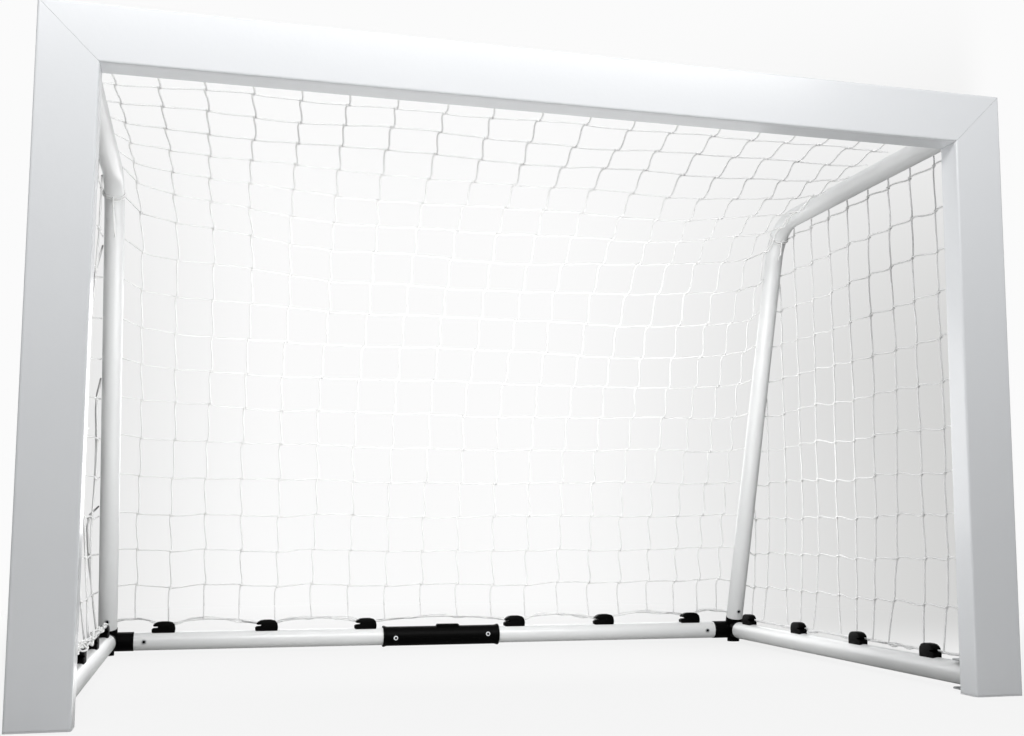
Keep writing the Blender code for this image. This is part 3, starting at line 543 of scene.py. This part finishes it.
# %% Draw the cord lines
class CordLines:
    """Collects lines of points for one net, and the places of its knots."""

    def __init__(self):
        self.points, self.edges, self.knots = [], [], []

    def line(self, points):
        """Add one line through points."""
        first = len(self.points)
        self.points += points
        self.edges += [(first + i, first + i + 1) for i in range(len(points) - 1)]

    def mesh(self, name):
        """All lines and knots as one mesh without faces, its knots marked."""
        mesh = bpy.data.meshes.new(name)
        mesh.from_pydata(self.points + self.knots, self.edges, [])
        marks = mesh.attributes.new("is_knot", "BOOLEAN", "POINT")
        marks.data.foreach_set("value", [0] * len(self.points) + [1] * len(self.knots))
        return mesh


sway_length = 0.05


def rounded(points):
    """The same line with each corner cut, its ends kept."""
    cut = [points[0]]
    for a, b in zip(points, points[1:]):
        cut += [a.lerp(b, 0.25), a.lerp(b, 0.75)]
    return cut + [points[-1]]


def stepped_cord(row, step_at, sway_size, seed):
    """One cord through a row of knots, stepping aside at each of them by what step_at gives."""
    points = [row[0]]
    for k in range(len(row) - 1):
        start = row[k] - (step_at(row[k]) if k > 0 else Vector())
        end = row[k + 1] + (step_at(row[k + 1]) if k < len(row) - 2 else Vector())
        sway = ripple(start.lerp(end, 0.5), sway_length, seed) * sway_size
        points += [start.lerp(end, share) + sway * 4 * share * (1 - share) for share in (0.06, 0.5, 0.94)]
    return rounded(rounded(points + [row[-1]]))


def down_step(knot):
    """Half the step of a cord that runs down the bag."""
    return Vector((0.0060 + 0.0036 * knot.x, 0, 0))


def across_step(_):
    """Half the step of a cord that runs across the bag, the same at every knot."""
    return Vector((0, 0.0010, 0.0016))


bag = CordLines()
for j in range(1, bag_columns):
    bag.line(stepped_cord([knots[i][j] for i in range(bag_rows + 1)], down_step, 0.0045, 1.7 + j))
for i in range(1, bag_rows):
    bag.line(stepped_cord(knots[i], across_step, 0.0040, 40.3 + i))
bag.knots = [knots[i][j] for i in range(1, bag_rows) for j in range(1, bag_columns)]
print("Bag: %d points, %d knots" % (len(bag.points), len(bag.knots)))

# %% [markdown]
# ## Side panels
# Outside each bow a flat panel of the same mesh hangs to the ground bar. Its upright cords start
# on the bow and its level cords run from the post to the leg. The clips hold only some of the
# meshes, so the lowest uprights are drawn together there. The left panel is slack: it is bunched
# more, and it hangs in folds, so its uprights stand nearer and further from the frame in turn.

# %% Knots and cords of the side panels
panel_cell = 0.0925
panel_start = hook_depth + 0.017
panel_foot_x = side_frame_x + clip_offset
panel_x = side_frame_x + tube_radius + hem_radius
foot_lean_height = 0.25
knot_clearance = 0.02
leg_foot_depth = 1.19
row_share = 0.45
layer_shift, layer_depth, layer_clearance = 0.24, 0.002, 0.012


def panel_x_at(z):
    """The panel leans in slightly towards the clips at its foot."""
    lean = min(max((z - hem_height) / foot_lean_height, 0), 1) ** 0.7
    return panel_foot_x + (panel_x - panel_foot_x) * lean


def bow_top(depth):
    """Height of the bow's axis above a depth."""
    low, high = 0.0, bow_length
    for _ in range(30):
        middle = (low + high) / 2
        if bow_station(middle)[0].x < depth:
            low = middle
        else:
            high = middle
    return bow_station(low)[0].y


def bow_rear(z):
    """Depth of the leg's axis at a height."""
    return min(rear_bar_depth - (z - ground_bar_height) * math.tan(leg_lean), leg_foot_depth)


def gathered(depth, row, clips, hold):
    """Draw a depth towards the nearest clip: by hold at the hem, less in each row above it."""
    nearest = min(clips, key=lambda clip: abs(clip - depth))
    return depth + (nearest - depth) * hold * row_share ** row


def upright_step(_):
    """Half the step of a panel's upright cord."""
    return Vector((0, 0.0025, 0))


def level_step(_):
    """Half the step of a panel's level cord."""
    return Vector((0, 0, 0.0045))


def slack_layer(line, side, layer, seed):
    """A panel's upright again, a little further back and outward, but inside the bow."""
    points = []
    for k, point in enumerate(line):
        loose = min(k / 2, 1) * min((len(line) - 1 - k) / 2, 1)
        sway = ripple(point, 0.15, 3.3 * layer + seed).y * 0.02 + panel_cell * layer_shift * layer
        place = point + Vector((side * layer_depth * layer, sway, 0)) * loose
        limit = front_y + bow_rear(place.z) - layer_clearance
        place.y = min(place.y, max(limit, point.y))
        points.append(place)
    return rounded(points)


def panel(side, slack, hold, layers=0):
    """The cord lines of one side panel, with more uprights where its slack lies in layers."""
    lines = CordLines()
    name = "left" if side < 0 else "right"
    clips = [sum(corner[1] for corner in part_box("%s_net_clip_%d" % (name, i))) / 2 - front_y
             for i in range(1, 5)]
    columns = int((rear_bar_depth - 0.10 - hook_depth) / panel_cell)
    rows = int((bow_height - hem_height) / panel_cell)

    def knot(c, r):
        depth, z = panel_start + c * panel_cell, hem_height + r * panel_cell
        point = at(side * panel_x_at(z), gathered(depth, r, clips, hold), z)
        push = ripple(point, 0.20, 7.7 + side) * 0.010
        fold = slack * math.sin(c * 2.1 + z * 2.0) * math.sin(math.pi * min(max(z / 1.1, 0), 1))
        return point + Vector((side * abs(fold), push.y, push.z))

    for c in range(columns + 1):
        depth = panel_start + c * panel_cell
        top = bow_top(depth)
        line = [knot(c, 0)]
        for r in range(1, rows + 1):
            if hem_height + r * panel_cell > top - knot_clearance:
                break
            line.append(knot(c, r))
        line.append(at(side * panel_x, depth, top + 0.004))
        lines.line(stepped_cord(line, upright_step, 0.004, 9.0 + c))
        lines.knots += line[1:-1]
        for layer in range(1, layers + 1):
            lines.line(slack_layer(line, side, layer, c))
    for r in range(1, rows + 1):
        z = hem_height + r * panel_cell
        if z > bow_height - knot_clearance:
            break
        end_depth = bow_rear(z)
        line = [at(side * panel_x_at(z), hook_depth, z)]
        for c in range(columns + 1):
            depth = panel_start + c * panel_cell
            if depth > end_depth - knot_clearance:
                break
            if z < bow_top(depth) - knot_clearance:
                line.append(knot(c, r))
        line.append(at(side * panel_x, end_depth, z))
        lines.line(stepped_cord(line, level_step, 0.004, 60.0 + r))
    return lines


left_panel, right_panel = panel(-1, 0.030, 0.75, layers=3), panel(1, 0.004, 0.25)
print("Panels: %d and %d knots" % (len(left_panel.knots), len(right_panel.knots)))

# %% [markdown]
# ## From lines to cord
# Geometry Nodes turn the lines into cord: the mesh edges become curves, a small circle is swept
# along them, and a knot is set on every marked point. Doing it with nodes keeps the cord's
# thickness and the knot's size as two numbers, and the whole net follows when they change.


# %% Build the node tree for cord and knots
def socket(tree, name, kind, default=None):
    """Add an input to a tree."""
    item = tree.interface.new_socket(name, in_out="INPUT", socket_type=kind)
    if default is not None:
        item.default_value = default


def cord_tree():
    """Geometry Nodes that sweep a cord along lines and set a knot on each marked point."""
    tree = bpy.data.node_groups.new("cord and knots", "GeometryNodeTree")
    socket(tree, "Lines", "NodeSocketGeometry")
    socket(tree, "Cord radius", "NodeSocketFloat", 0.002)
    socket(tree, "Knot size", "NodeSocketFloat", 0.004)
    socket(tree, "Cord material", "NodeSocketMaterial")
    tree.interface.new_socket("Net", in_out="OUTPUT", socket_type="NodeSocketGeometry")
    given = add(tree, "NodeGroupInput").outputs
    is_knot = add(tree, "GeometryNodeInputNamedAttribute", {"data_type": "BOOLEAN", "Name": "is_knot"})
    parts = add(tree, "GeometryNodeSeparateGeometry", {"domain": "POINT"},
                {"Geometry": given["Lines"], "Selection": is_knot.outputs["Attribute"]})
    curve = add(tree, "GeometryNodeMeshToCurve", {}, {"Mesh": parts.outputs["Inverted"]})
    length = add(tree, "GeometryNodeSplineParameter")
    keep_length = add(tree, "GeometryNodeCaptureAttribute", {}, {"Geometry": curve.outputs["Curve"]})
    keep_length.capture_items.new("FLOAT", "length")
    tree.links.new(length.outputs["Length"], keep_length.inputs[1])
    ring = add(tree, "GeometryNodeCurvePrimitiveCircle", {"Resolution": 6}, {"Radius": given["Cord radius"]})
    around = add(tree, "GeometryNodeSplineParameter")
    keep_around = add(tree, "GeometryNodeCaptureAttribute", {}, {"Geometry": ring.outputs["Curve"]})
    keep_around.capture_items.new("FLOAT", "around")
    tree.links.new(around.outputs["Factor"], keep_around.inputs[1])
    swept = add(tree, "GeometryNodeCurveToMesh", {"Fill Caps": True},
                {"Curve": keep_length.outputs["Geometry"], "Profile Curve": keep_around.outputs["Geometry"]})
    lay = add(tree, "ShaderNodeCombineXYZ", {"Z": 1.0},
              {"X": keep_around.outputs[1], "Y": keep_length.outputs[1]})
    named = add(tree, "GeometryNodeStoreNamedAttribute",
                {"data_type": "FLOAT_VECTOR", "domain": "POINT", "Name": "cord_lay"},
                {"Geometry": swept.outputs["Mesh"], "Value": lay.outputs[0]})
    smooth = add(tree, "GeometryNodeSetShadeSmooth", {}, {"Geometry": named.outputs["Geometry"]})
    lump = add(tree, "GeometryNodeMeshUVSphere", {"Segments": 8, "Rings": 5}, {"Radius": given["Knot size"]})
    bulge = add(tree, "ShaderNodeTexNoise", {"noise_dimensions": "3D", "Scale": 320.0, "Detail": 0.0})
    shift = add(tree, "ShaderNodeVectorMath", {"operation": "SUBTRACT", 1: (0.5, 0.5, 0.5)},
                {0: bulge.outputs["Color"]})
    small = add(tree, "ShaderNodeVectorMath", {"operation": "SCALE", "Scale": 0.003},
                {0: shift.outputs[0]})
    rough = add(tree, "GeometryNodeSetPosition", {},
                {"Geometry": lump.outputs["Mesh"], "Offset": small.outputs[0]})
    spin = add(tree, "FunctionNodeRandomValue", {"data_type": "FLOAT_VECTOR", "Seed": 11,
                                                 0: (-0.6, -0.6, -0.6), 1: (0.6, 0.6, 0.6)})
    placed = add(tree, "GeometryNodeInstanceOnPoints", {"Scale": (1.25, 0.8, 1.0)},
                 {"Points": parts.outputs["Selection"], "Instance": rough.outputs["Geometry"],
                  "Rotation": spin.outputs[0]})
    real = add(tree, "GeometryNodeRealizeInstances", {}, {"Geometry": placed.outputs["Instances"]})
    round_knots = add(tree, "GeometryNodeSetShadeSmooth", {}, {"Geometry": real.outputs["Geometry"]})
    both = add(tree, "GeometryNodeJoinGeometry")
    tree.links.new(smooth.outputs["Geometry"], both.inputs[0])
    tree.links.new(round_knots.outputs["Geometry"], both.inputs[0])
    dyed = add(tree, "GeometryNodeSetMaterial", {},
               {"Geometry": both.outputs[0], "Material": given["Cord material"]})
    add(tree, "NodeGroupOutput", {}, {"Net": dyed.outputs["Geometry"]})
    return tree


cord_and_knots = cord_tree()


def corded(name, mesh, values):
    """Run the tree on a mesh of lines and keep the result as a plain mesh object."""
    source = bpy.data.objects.new(name, mesh)
    bpy.context.collection.objects.link(source)
    modifier = source.modifiers.new("make", "NODES")
    modifier.node_group = cord_and_knots
    for item in cord_and_knots.interface.items_tree:
        if item.item_type == "SOCKET" and item.in_out == "INPUT" and item.name in values:
            modifier[item.identifier] = values[item.name]
    evaluated = source.evaluated_get(bpy.context.evaluated_depsgraph_get())
    finished = bpy.data.meshes.new_from_object(evaluated)
    source.modifiers.remove(modifier)
    source.data = finished
    print("%s: %d faces" % (name, len(finished.polygons)))
    return source


print("Node tree with", len(cord_and_knots.nodes), "nodes")

# %% [markdown]
# ## Rounder tubes, heads and ears
# The solids' tubes have 20 sides, which shows as stripes where light grazes them. Each tube is
# swept again on the same axis with 64 sides. Screw and rivet heads get a hollow, painted black as
# the shade in it, that shows as a dark dot, and the foot brackets their wide ears, whose edges
# show beside the right post. Each of these pieces is a skin through rings of points.

# %% Sweep and turn the finer pieces
bow_tube_front, bow_tube_end_gap, bend_parts = 0.0618, 0.0363, 24
leg_screw_up, rear_screw_in, sleeve_rivet_in = 0.061, 0.087, 0.123
sleeve_radius, rivet_tilt = 0.0250, 0.003
screw_radius, rivet_radius, head_height = 0.0056, 0.0057, 0.002
ear_half_width, ear_corner, ear_thickness = 0.0225, 0.006, 0.0030
ear_front, ear_back = profile_depth + 0.0008, profile_depth + 0.042
ear_levels = (("upper", 0.0258), ("lower", -0.0288))
sharp_angle = math.radians(35)


def ring(centre, along, radius, sides=64):
    """A circle of points round an axis."""
    across = Vector((0, 0, 1)) if abs(along.x) > 0.9 else Vector((1, 0, 0))
    other = along.cross(across)
    angles = [math.tau * k / sides for k in range(sides)]
    return [centre + (across * math.cos(angle) + other * math.sin(angle)) * radius for angle in angles]


def loft(name, rings, materials, painted_shade_from=None):
    """A closed skin through rings of points, with its second material, used as painted shade, from one ring
    on where that is asked for.
    """
    count = len(rings[0])
    faces = []
    for r in range(len(rings) - 1):
        here, after = r * count, (r + 1) * count
        faces += [(here + k, here + (k + 1) % count, after + (k + 1) % count, after + k)
                  for k in range(count)]
    last = (len(rings) - 1) * count
    faces += [tuple(reversed(range(count))), tuple(range(last, last + count))]
    mesh = bpy.data.meshes.new(name)
    mesh.from_pydata([point for loop in rings for point in loop], [], faces)
    for material in materials:
        mesh.materials.append(material)
    if painted_shade_from is not None:
        for face in mesh.polygons:
            face.material_index = int(min(face.vertices) // count >= painted_shade_from)
    mesh.shade_smooth()
    mesh.set_sharp_from_angle(angle=sharp_angle)
    made = bpy.data.objects.new(name, mesh)
    bpy.context.collection.objects.link(made)
    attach(made, "root")
    return made


def head(name, point, outward, radius, coat):
    """A round fastener head whose middle hollow is painted black as its shade, in the place of the plain one.
    """
    height = head_height
    profile = ((radius, -0.0005), (radius, height * 0.5), (radius * 0.85, height), (radius * 0.60, height),
               (radius * 0.52, height * 0.8), (radius * 0.45, 0.0002), (0.0004, 0.0))
    rings = [ring(point + outward * rise, outward, wide, 24) for wide, rise in profile]
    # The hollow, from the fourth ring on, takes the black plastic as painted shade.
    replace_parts(loft(name + "_head", rings, (coat, black_plastic), 3), name)


def bow_tube(side, label):
    """The bent bow, in the place of the solid one."""
    stops = [bow_tube_front - hook_depth, run_length]
    stops += [run_length + bend_length * k / bend_parts for k in range(1, bend_parts + 1)]
    stops.append(bow_length - bow_tube_end_gap)
    rings = []
    for stop in stops:
        place, outward = bow_station(stop)
        rings.append(ring(at(side * side_frame_x, *place), Vector((0, outward.y, -outward.x)), tube_radius))
    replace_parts(loft(label + "_bow_tube", rings, (tube_coat,)), label + "_bow")


def straight_tube(name, axis):
    """A straight bar along axis 0, X, or 1, Y, in the place of the solid one."""
    low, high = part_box(name)
    middle = (Vector(low) + Vector(high)) / 2
    along = Vector((axis == 0, axis == 1, 0))
    ends = [middle + along * (end - middle[axis]) for end in (low[axis], high[axis])]
    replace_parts(loft(name + "_tube", [ring(end, along, tube_radius) for end in ends], (tube_coat,)), name)


def heads(side, label):
    """The heads that show at one side: on the leg, on the rear bar and on the sleeve."""
    corner = at(side * side_frame_x, rear_bar_depth, ground_bar_height)
    leg_up = Vector((0, -math.sin(leg_lean), math.cos(leg_lean)))
    forward_out = Vector((0, -math.cos(leg_lean), -math.sin(leg_lean)))
    towards_us = Vector((0, -1, 0))
    leg_place = corner + leg_up * leg_screw_up + forward_out * tube_radius
    head(label + "_bow_screw", leg_place, forward_out, screw_radius, bright_zinc)
    rear_place = corner + Vector((-side * rear_screw_in, -tube_radius, 0))
    head(label + "_rear_bar_screw", rear_place, towards_us, screw_radius, bright_zinc)
    rivet_place = at(side * sleeve_rivet_in, rear_bar_depth - sleeve_radius,
                     ground_bar_height + side * rivet_tilt)
    head(label + "_sleeve_rivet", rivet_place, towards_us, rivet_radius, gloss_coat)


def ears(side, label):
    """The two wide ears of a foot bracket, flat plates with their rear corners cut."""
    wide, narrow, cut = ear_half_width, ear_half_width - ear_corner, ear_back - ear_corner
    for level, height in ear_levels:
        outline = [at(side * side_frame_x + x, depth, ground_bar_height + height) for x, depth in
                   ((-wide, ear_front), (wide, ear_front), (wide, cut),
                    (narrow, ear_back), (-narrow, ear_back), (-wide, cut))]
        thick = [outline, [point + Vector((0, 0, ear_thickness)) for point in outline]]
        loft("%s_foot_bracket_%s_ear" % (label, level), thick, (bright_zinc,))


for side, label in ((-1, "left"), (1, "right")):
    bow_tube(side, label)
    straight_tube(label + "_ground_bar", 1)
    straight_tube(label + "_rear_bar", 0)
    heads(side, label)
    ears(side, label)
print("Swept six tubes and made six heads and four ears")

# %% [markdown]
# ## Net clips
# A clip is a low block with a rounded top and a slot at its mouth. Its outline is given as places
# along the bar and heights above the bar's axis. It is drawn six times across the clip's width,
# smaller at both sides, which rounds its edges.

# %% Mould the clips
jaws = ((-0.027, 0.014), (0.027, 0.014), (0.0288, 0.030), (0.0265, 0.040), (0.021, 0.0458), (0.011, 0.0482),
        (-0.004, 0.0482), (-0.014, 0.0470), (-0.0210, 0.0435), (-0.0252, 0.0395), (-0.0245, 0.0368),
        (-0.0150, 0.0368), (-0.0130, 0.0345), (-0.0150, 0.0325), (-0.0245, 0.0320), (-0.0285, 0.0290))
clip_sections = ((0.0100, 0.86), (0.0092, 0.95), (0.0078, 1.0), (-0.0078, 1.0), (-0.0092, 0.95),
                 (-0.0100, 0.86))
clip_middle = 0.031


def clip(name, on_rear_bar):
    """One moulded net clip, in the place of the solid one."""
    low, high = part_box(name)
    middle = (Vector(low) + Vector(high)) / 2
    seat = Vector((middle.x, middle.y, ground_bar_height))
    along, across = Vector((0, 1, 0)), Vector((-1, 0, 0))
    if on_rear_bar:
        along, across = Vector((1, 0, 0)), Vector((0, 1, 0))
    rings = []
    for offset, size in clip_sections:
        rings.append([seat + across * offset + along * x * size
                      + Vector((0, 0, clip_middle + (z - clip_middle) * size)) for x, z in jaws])
    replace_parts(loft(name + "_moulding", rings, (black_plastic,)), name)


for number in range(1, 7):
    clip("rear_net_clip_%d" % number, True)
for side_name in ("left", "right"):
    for number in range(1, 5):
        clip("%s_net_clip_%d" % (side_name, number), False)
print("Moulded the clips, each through", len(clip_sections), "sections")

# %% [markdown]
# ## Centre sleeve
# The sleeve over the butt of the two rear bars has flared ends. Its pad stands 18 mm right of the
# middle in the photograph. The flare is a row of radii, each with its distance from the end.

# %% Turn the sleeve and set its pad
sleeve_low, sleeve_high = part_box("centre_sleeve")
sleeve_half = (sleeve_high[0] - sleeve_low[0]) / 2
sleeve_axis = at(0, rear_bar_depth, ground_bar_height)
flare = ((0.0228, 0.0), (0.0268, 0.0), (0.0274, 0.0012), (0.0272, 0.0040), (0.0258, 0.0075),
         (sleeve_radius, 0.0120))
pad_right, pad_half_width, pad_top, pad_base, pad_corner = 0.018, 0.010, 0.0298, 0.02, 0.002
pad_stations = ((-0.031, 0.004), (-0.029, 0.001), (-0.027, 0.0), (0.027, 0.0), (0.029, 0.001),
                (0.031, 0.004))
half_profile = [(radius, -sleeve_half + inset) for radius, inset in flare]
whole_profile = half_profile + [(radius, -x) for radius, x in reversed(half_profile)]
sleeve = loft("centre_sleeve_shell", [ring(sleeve_axis + Vector((x, 0, 0)), Vector((1, 0, 0)), radius)
                                      for radius, x in whole_profile], (black_plastic,))
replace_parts(sleeve, "centre_sleeve")
pad_rings = []
for x, shrink in pad_stations:
    wide, top = pad_half_width - shrink, pad_top - shrink
    section = ((-wide, pad_base), (wide, pad_base), (wide, top - pad_corner), (wide - pad_corner, top),
               (-wide + pad_corner, top), (-wide, top - pad_corner))
    pad_rings.append([sleeve_axis + Vector((x + pad_right, y, z)) for y, z in section])
loft("centre_sleeve_pad", pad_rings, (black_plastic,))
print("Sleeve %.0f mm long" % (sleeve_half * 2000))

# %% [markdown]
# ## Net cord
# The cord is twisted white polypropylene, about 3.8 mm thick. Its three strands wind round each
# other, which gives it slanting grooves about 6 mm apart, painted a little darker as the shade in
# them. The grooves follow the cord through the attribute that the node tree stored: how far round,
# how far along, and 1 on the cord, 0 on the knots. Light goes some way into a single cord, and
# hardly into the tight knots.


# %% Make the cord's material
def twisted_cord(name, strand, painted_groove_shade, lay_length):
    """Twisted three-strand cord: bright strands with slanting grooves, painted darker as their shade."""
    material, tree = new_material(name)
    lay = add(tree, "ShaderNodeAttribute", {"attribute_name": "cord_lay"})
    parts = add(tree, "ShaderNodeSeparateXYZ", {}, {0: lay.outputs["Vector"]})
    turns = add(tree, "ShaderNodeMath", {"operation": "MULTIPLY", 1: 1 / lay_length}, {0: parts.outputs["Y"]})
    phase = add(tree, "ShaderNodeMath", {"operation": "ADD"}, {0: parts.outputs["X"], 1: turns.outputs[0]})
    strands = add(tree, "ShaderNodeMath", {"operation": "MULTIPLY", 1: 3 * math.tau}, {0: phase.outputs[0]})
    wave = add(tree, "ShaderNodeMath", {"operation": "SINE"}, {0: strands.outputs[0]})
    height = add(tree, "ShaderNodeMapRange", {"From Min": -1.0}, {"Value": wave.outputs[0]}).outputs[0]
    surface(tree, {"Roughness": 0.62, "IOR": 1.49, "Sheen Weight": 0.15,
                   "Subsurface Radius": (1.0, 1.0, 1.0), "Subsurface Scale": 0.004},
            # The darker groove tone is painted shade; the same height also raises the strands as a bump.
            {"Base Color": tone_between(tree, height, painted_groove_shade, strand),
             "Normal": bumps(tree, height, 0.6, 0.0004), "Subsurface Weight": parts.outputs["Z"]})
    return material


net_cord = twisted_cord("twisted white polypropylene cord", "#FCFCFB", "#F0F0EF", 0.018)

# %% [markdown]
# ## Tying the net
# The node tree runs on the lines of the bag and of the panels. The bag stands for four solids of
# coarse netting, and each panel for one.


# %% Tie the bag and the panels
def tied(name, lines, radius, knot_size):
    """One piece of net made from its lines."""
    net = corded(name, lines.mesh(name),
                 {"Cord radius": radius, "Knot size": knot_size, "Cord material": net_cord})
    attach(net, "root")
    return net


for name, lines, replaced in (
        ("net_bag", bag, ("net_roof", "net_upper_back", "net_middle_back", "net_lower_back")),
        ("left_net_panel", left_panel, ("left_side_net",)),
        ("right_net_panel", right_panel, ("right_side_net",))):
    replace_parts(tied(name, lines, cord_radius, 0.0036), *replaced)

# %% [markdown]
# ## Border cords
# A thicker cord edges the net: along the hooks behind the crossbar, down the back of the posts,
# over both bows, and along the clips. The mesh is knotted to it.

# %% Run the border cords
side_hem_end = rear_bar_depth - 0.09
top_cord_x = side_frame_x - 0.03
border_angle = 0.8
bow_parts, border_parts, hem_parts = 160, 60, 240


def side_hem(side, parts):
    """The hem of a side panel, along its clips."""
    return [at(side * panel_foot_x, depth, hem_height) for depth in evenly(hook_depth, side_hem_end, parts)]


def rear_hem():
    """The hem of the bag, along its clips."""
    return [bag_point(across, 1.0) for across in evenly(-1, 1, hem_parts)]


borders = CordLines()
cord_reach = tube_radius + hem_radius
for side in (-1, 1):
    edge = []
    for length in evenly(0, bow_net_length, bow_parts):
        station, outward = bow_station(length)
        place = station + outward * cord_reach * math.cos(border_angle)
        edge.append(at(side * (side_frame_x + cord_reach * math.sin(border_angle)), *place))
    borders.line(edge)
    borders.line([at(side * panel_x_at(z), hook_depth, z)
                  for z in evenly(hem_height, bow_height, border_parts)])
    borders.line(side_hem(side, border_parts))
borders.line([at(x, hook_depth, net_top) for x in evenly(-top_cord_x, top_cord_x, border_parts)])
borders.line(rear_hem())
tied("net_border", borders, hem_radius, 0.004)

# %% [markdown]
# ## Gathered hem and ties
# The lowest meshes are pushed into the clips in a bunch, so loose strands lie beside the border
# cord from clip to clip. Four more lie over the left clips, where the slack panel is bunched. A
# short length of the same cord ties the net to each bow at its bend: two turns round the tube, and
# two ends that hang down.


# %% Gather the hem and tie the bows
bunch_x, bunch_height = -side_frame_x + 0.004, 0.086
bunch_start, bunch_end = hook_depth + 0.10, rear_bar_depth - 0.12
tie_turns, tie_parts, tie_width = 2, 60, 0.010


def strand_beside(line, spread, seed):
    """A cord that wanders round a line, and meets it again at both ends."""
    last = len(line) - 1
    return [point + ripple(point, 0.045, seed) * spread * math.sin(math.pi * i / last) ** 0.3
            for i, point in enumerate(line)]


def bow_tie(side, drop):
    """Two turns of cord round the bow at its bend, as one line with its hanging ends."""
    station, outward = bow_station(run_length + 0.6 * bend_length)
    centre = at(side * side_frame_x, *station)
    out, along = Vector((0, outward.x, outward.y)), Vector((0, outward.y, -outward.x))
    reach = tube_radius + cord_radius
    turns = []
    for k in range(tie_parts + 1):
        angle = -math.pi / 2 + 2 * math.pi * tie_turns * k / tie_parts
        turns.append(centre + Vector((side * reach * math.cos(angle), 0, 0)) + out * reach * math.sin(angle)
                     + along * tie_width * (k / tie_parts - 0.5))
    ends = []
    for start, lean in ((turns[0], -0.25), (turns[-1], 0.20)):
        fall = [start + Vector((-side * 0.006 * t, lean * 0.02 * t, -drop * t))
                for t in (0.15, 0.4, 0.7, 1.0)]
        ends.append([point + ripple(point, 0.03, 5.0 + lean) * 0.006 for point in fall])
    return rounded(list(reversed(ends[0]))) + turns + rounded(ends[1])


gathers = CordLines()
for seed in (2.2, 6.1):
    gathers.line(strand_beside(rear_hem(), 0.011, seed))
    for side in (-1, 1):
        gathers.line(strand_beside(side_hem(side, hem_parts // 2), 0.010, seed + side))
bunch = [at(bunch_x, depth, bunch_height) for depth in evenly(bunch_start, bunch_end, bow_parts)]
for seed in (1.4, 3.9, 8.5, 11.2):
    gathers.line(strand_beside(bunch, 0.016, seed))
gathers.line(bow_tie(1, 0.040))
gathers.line(bow_tie(-1, 0.085))
tied("net_gathers_and_ties", gathers, cord_radius, 0.004)
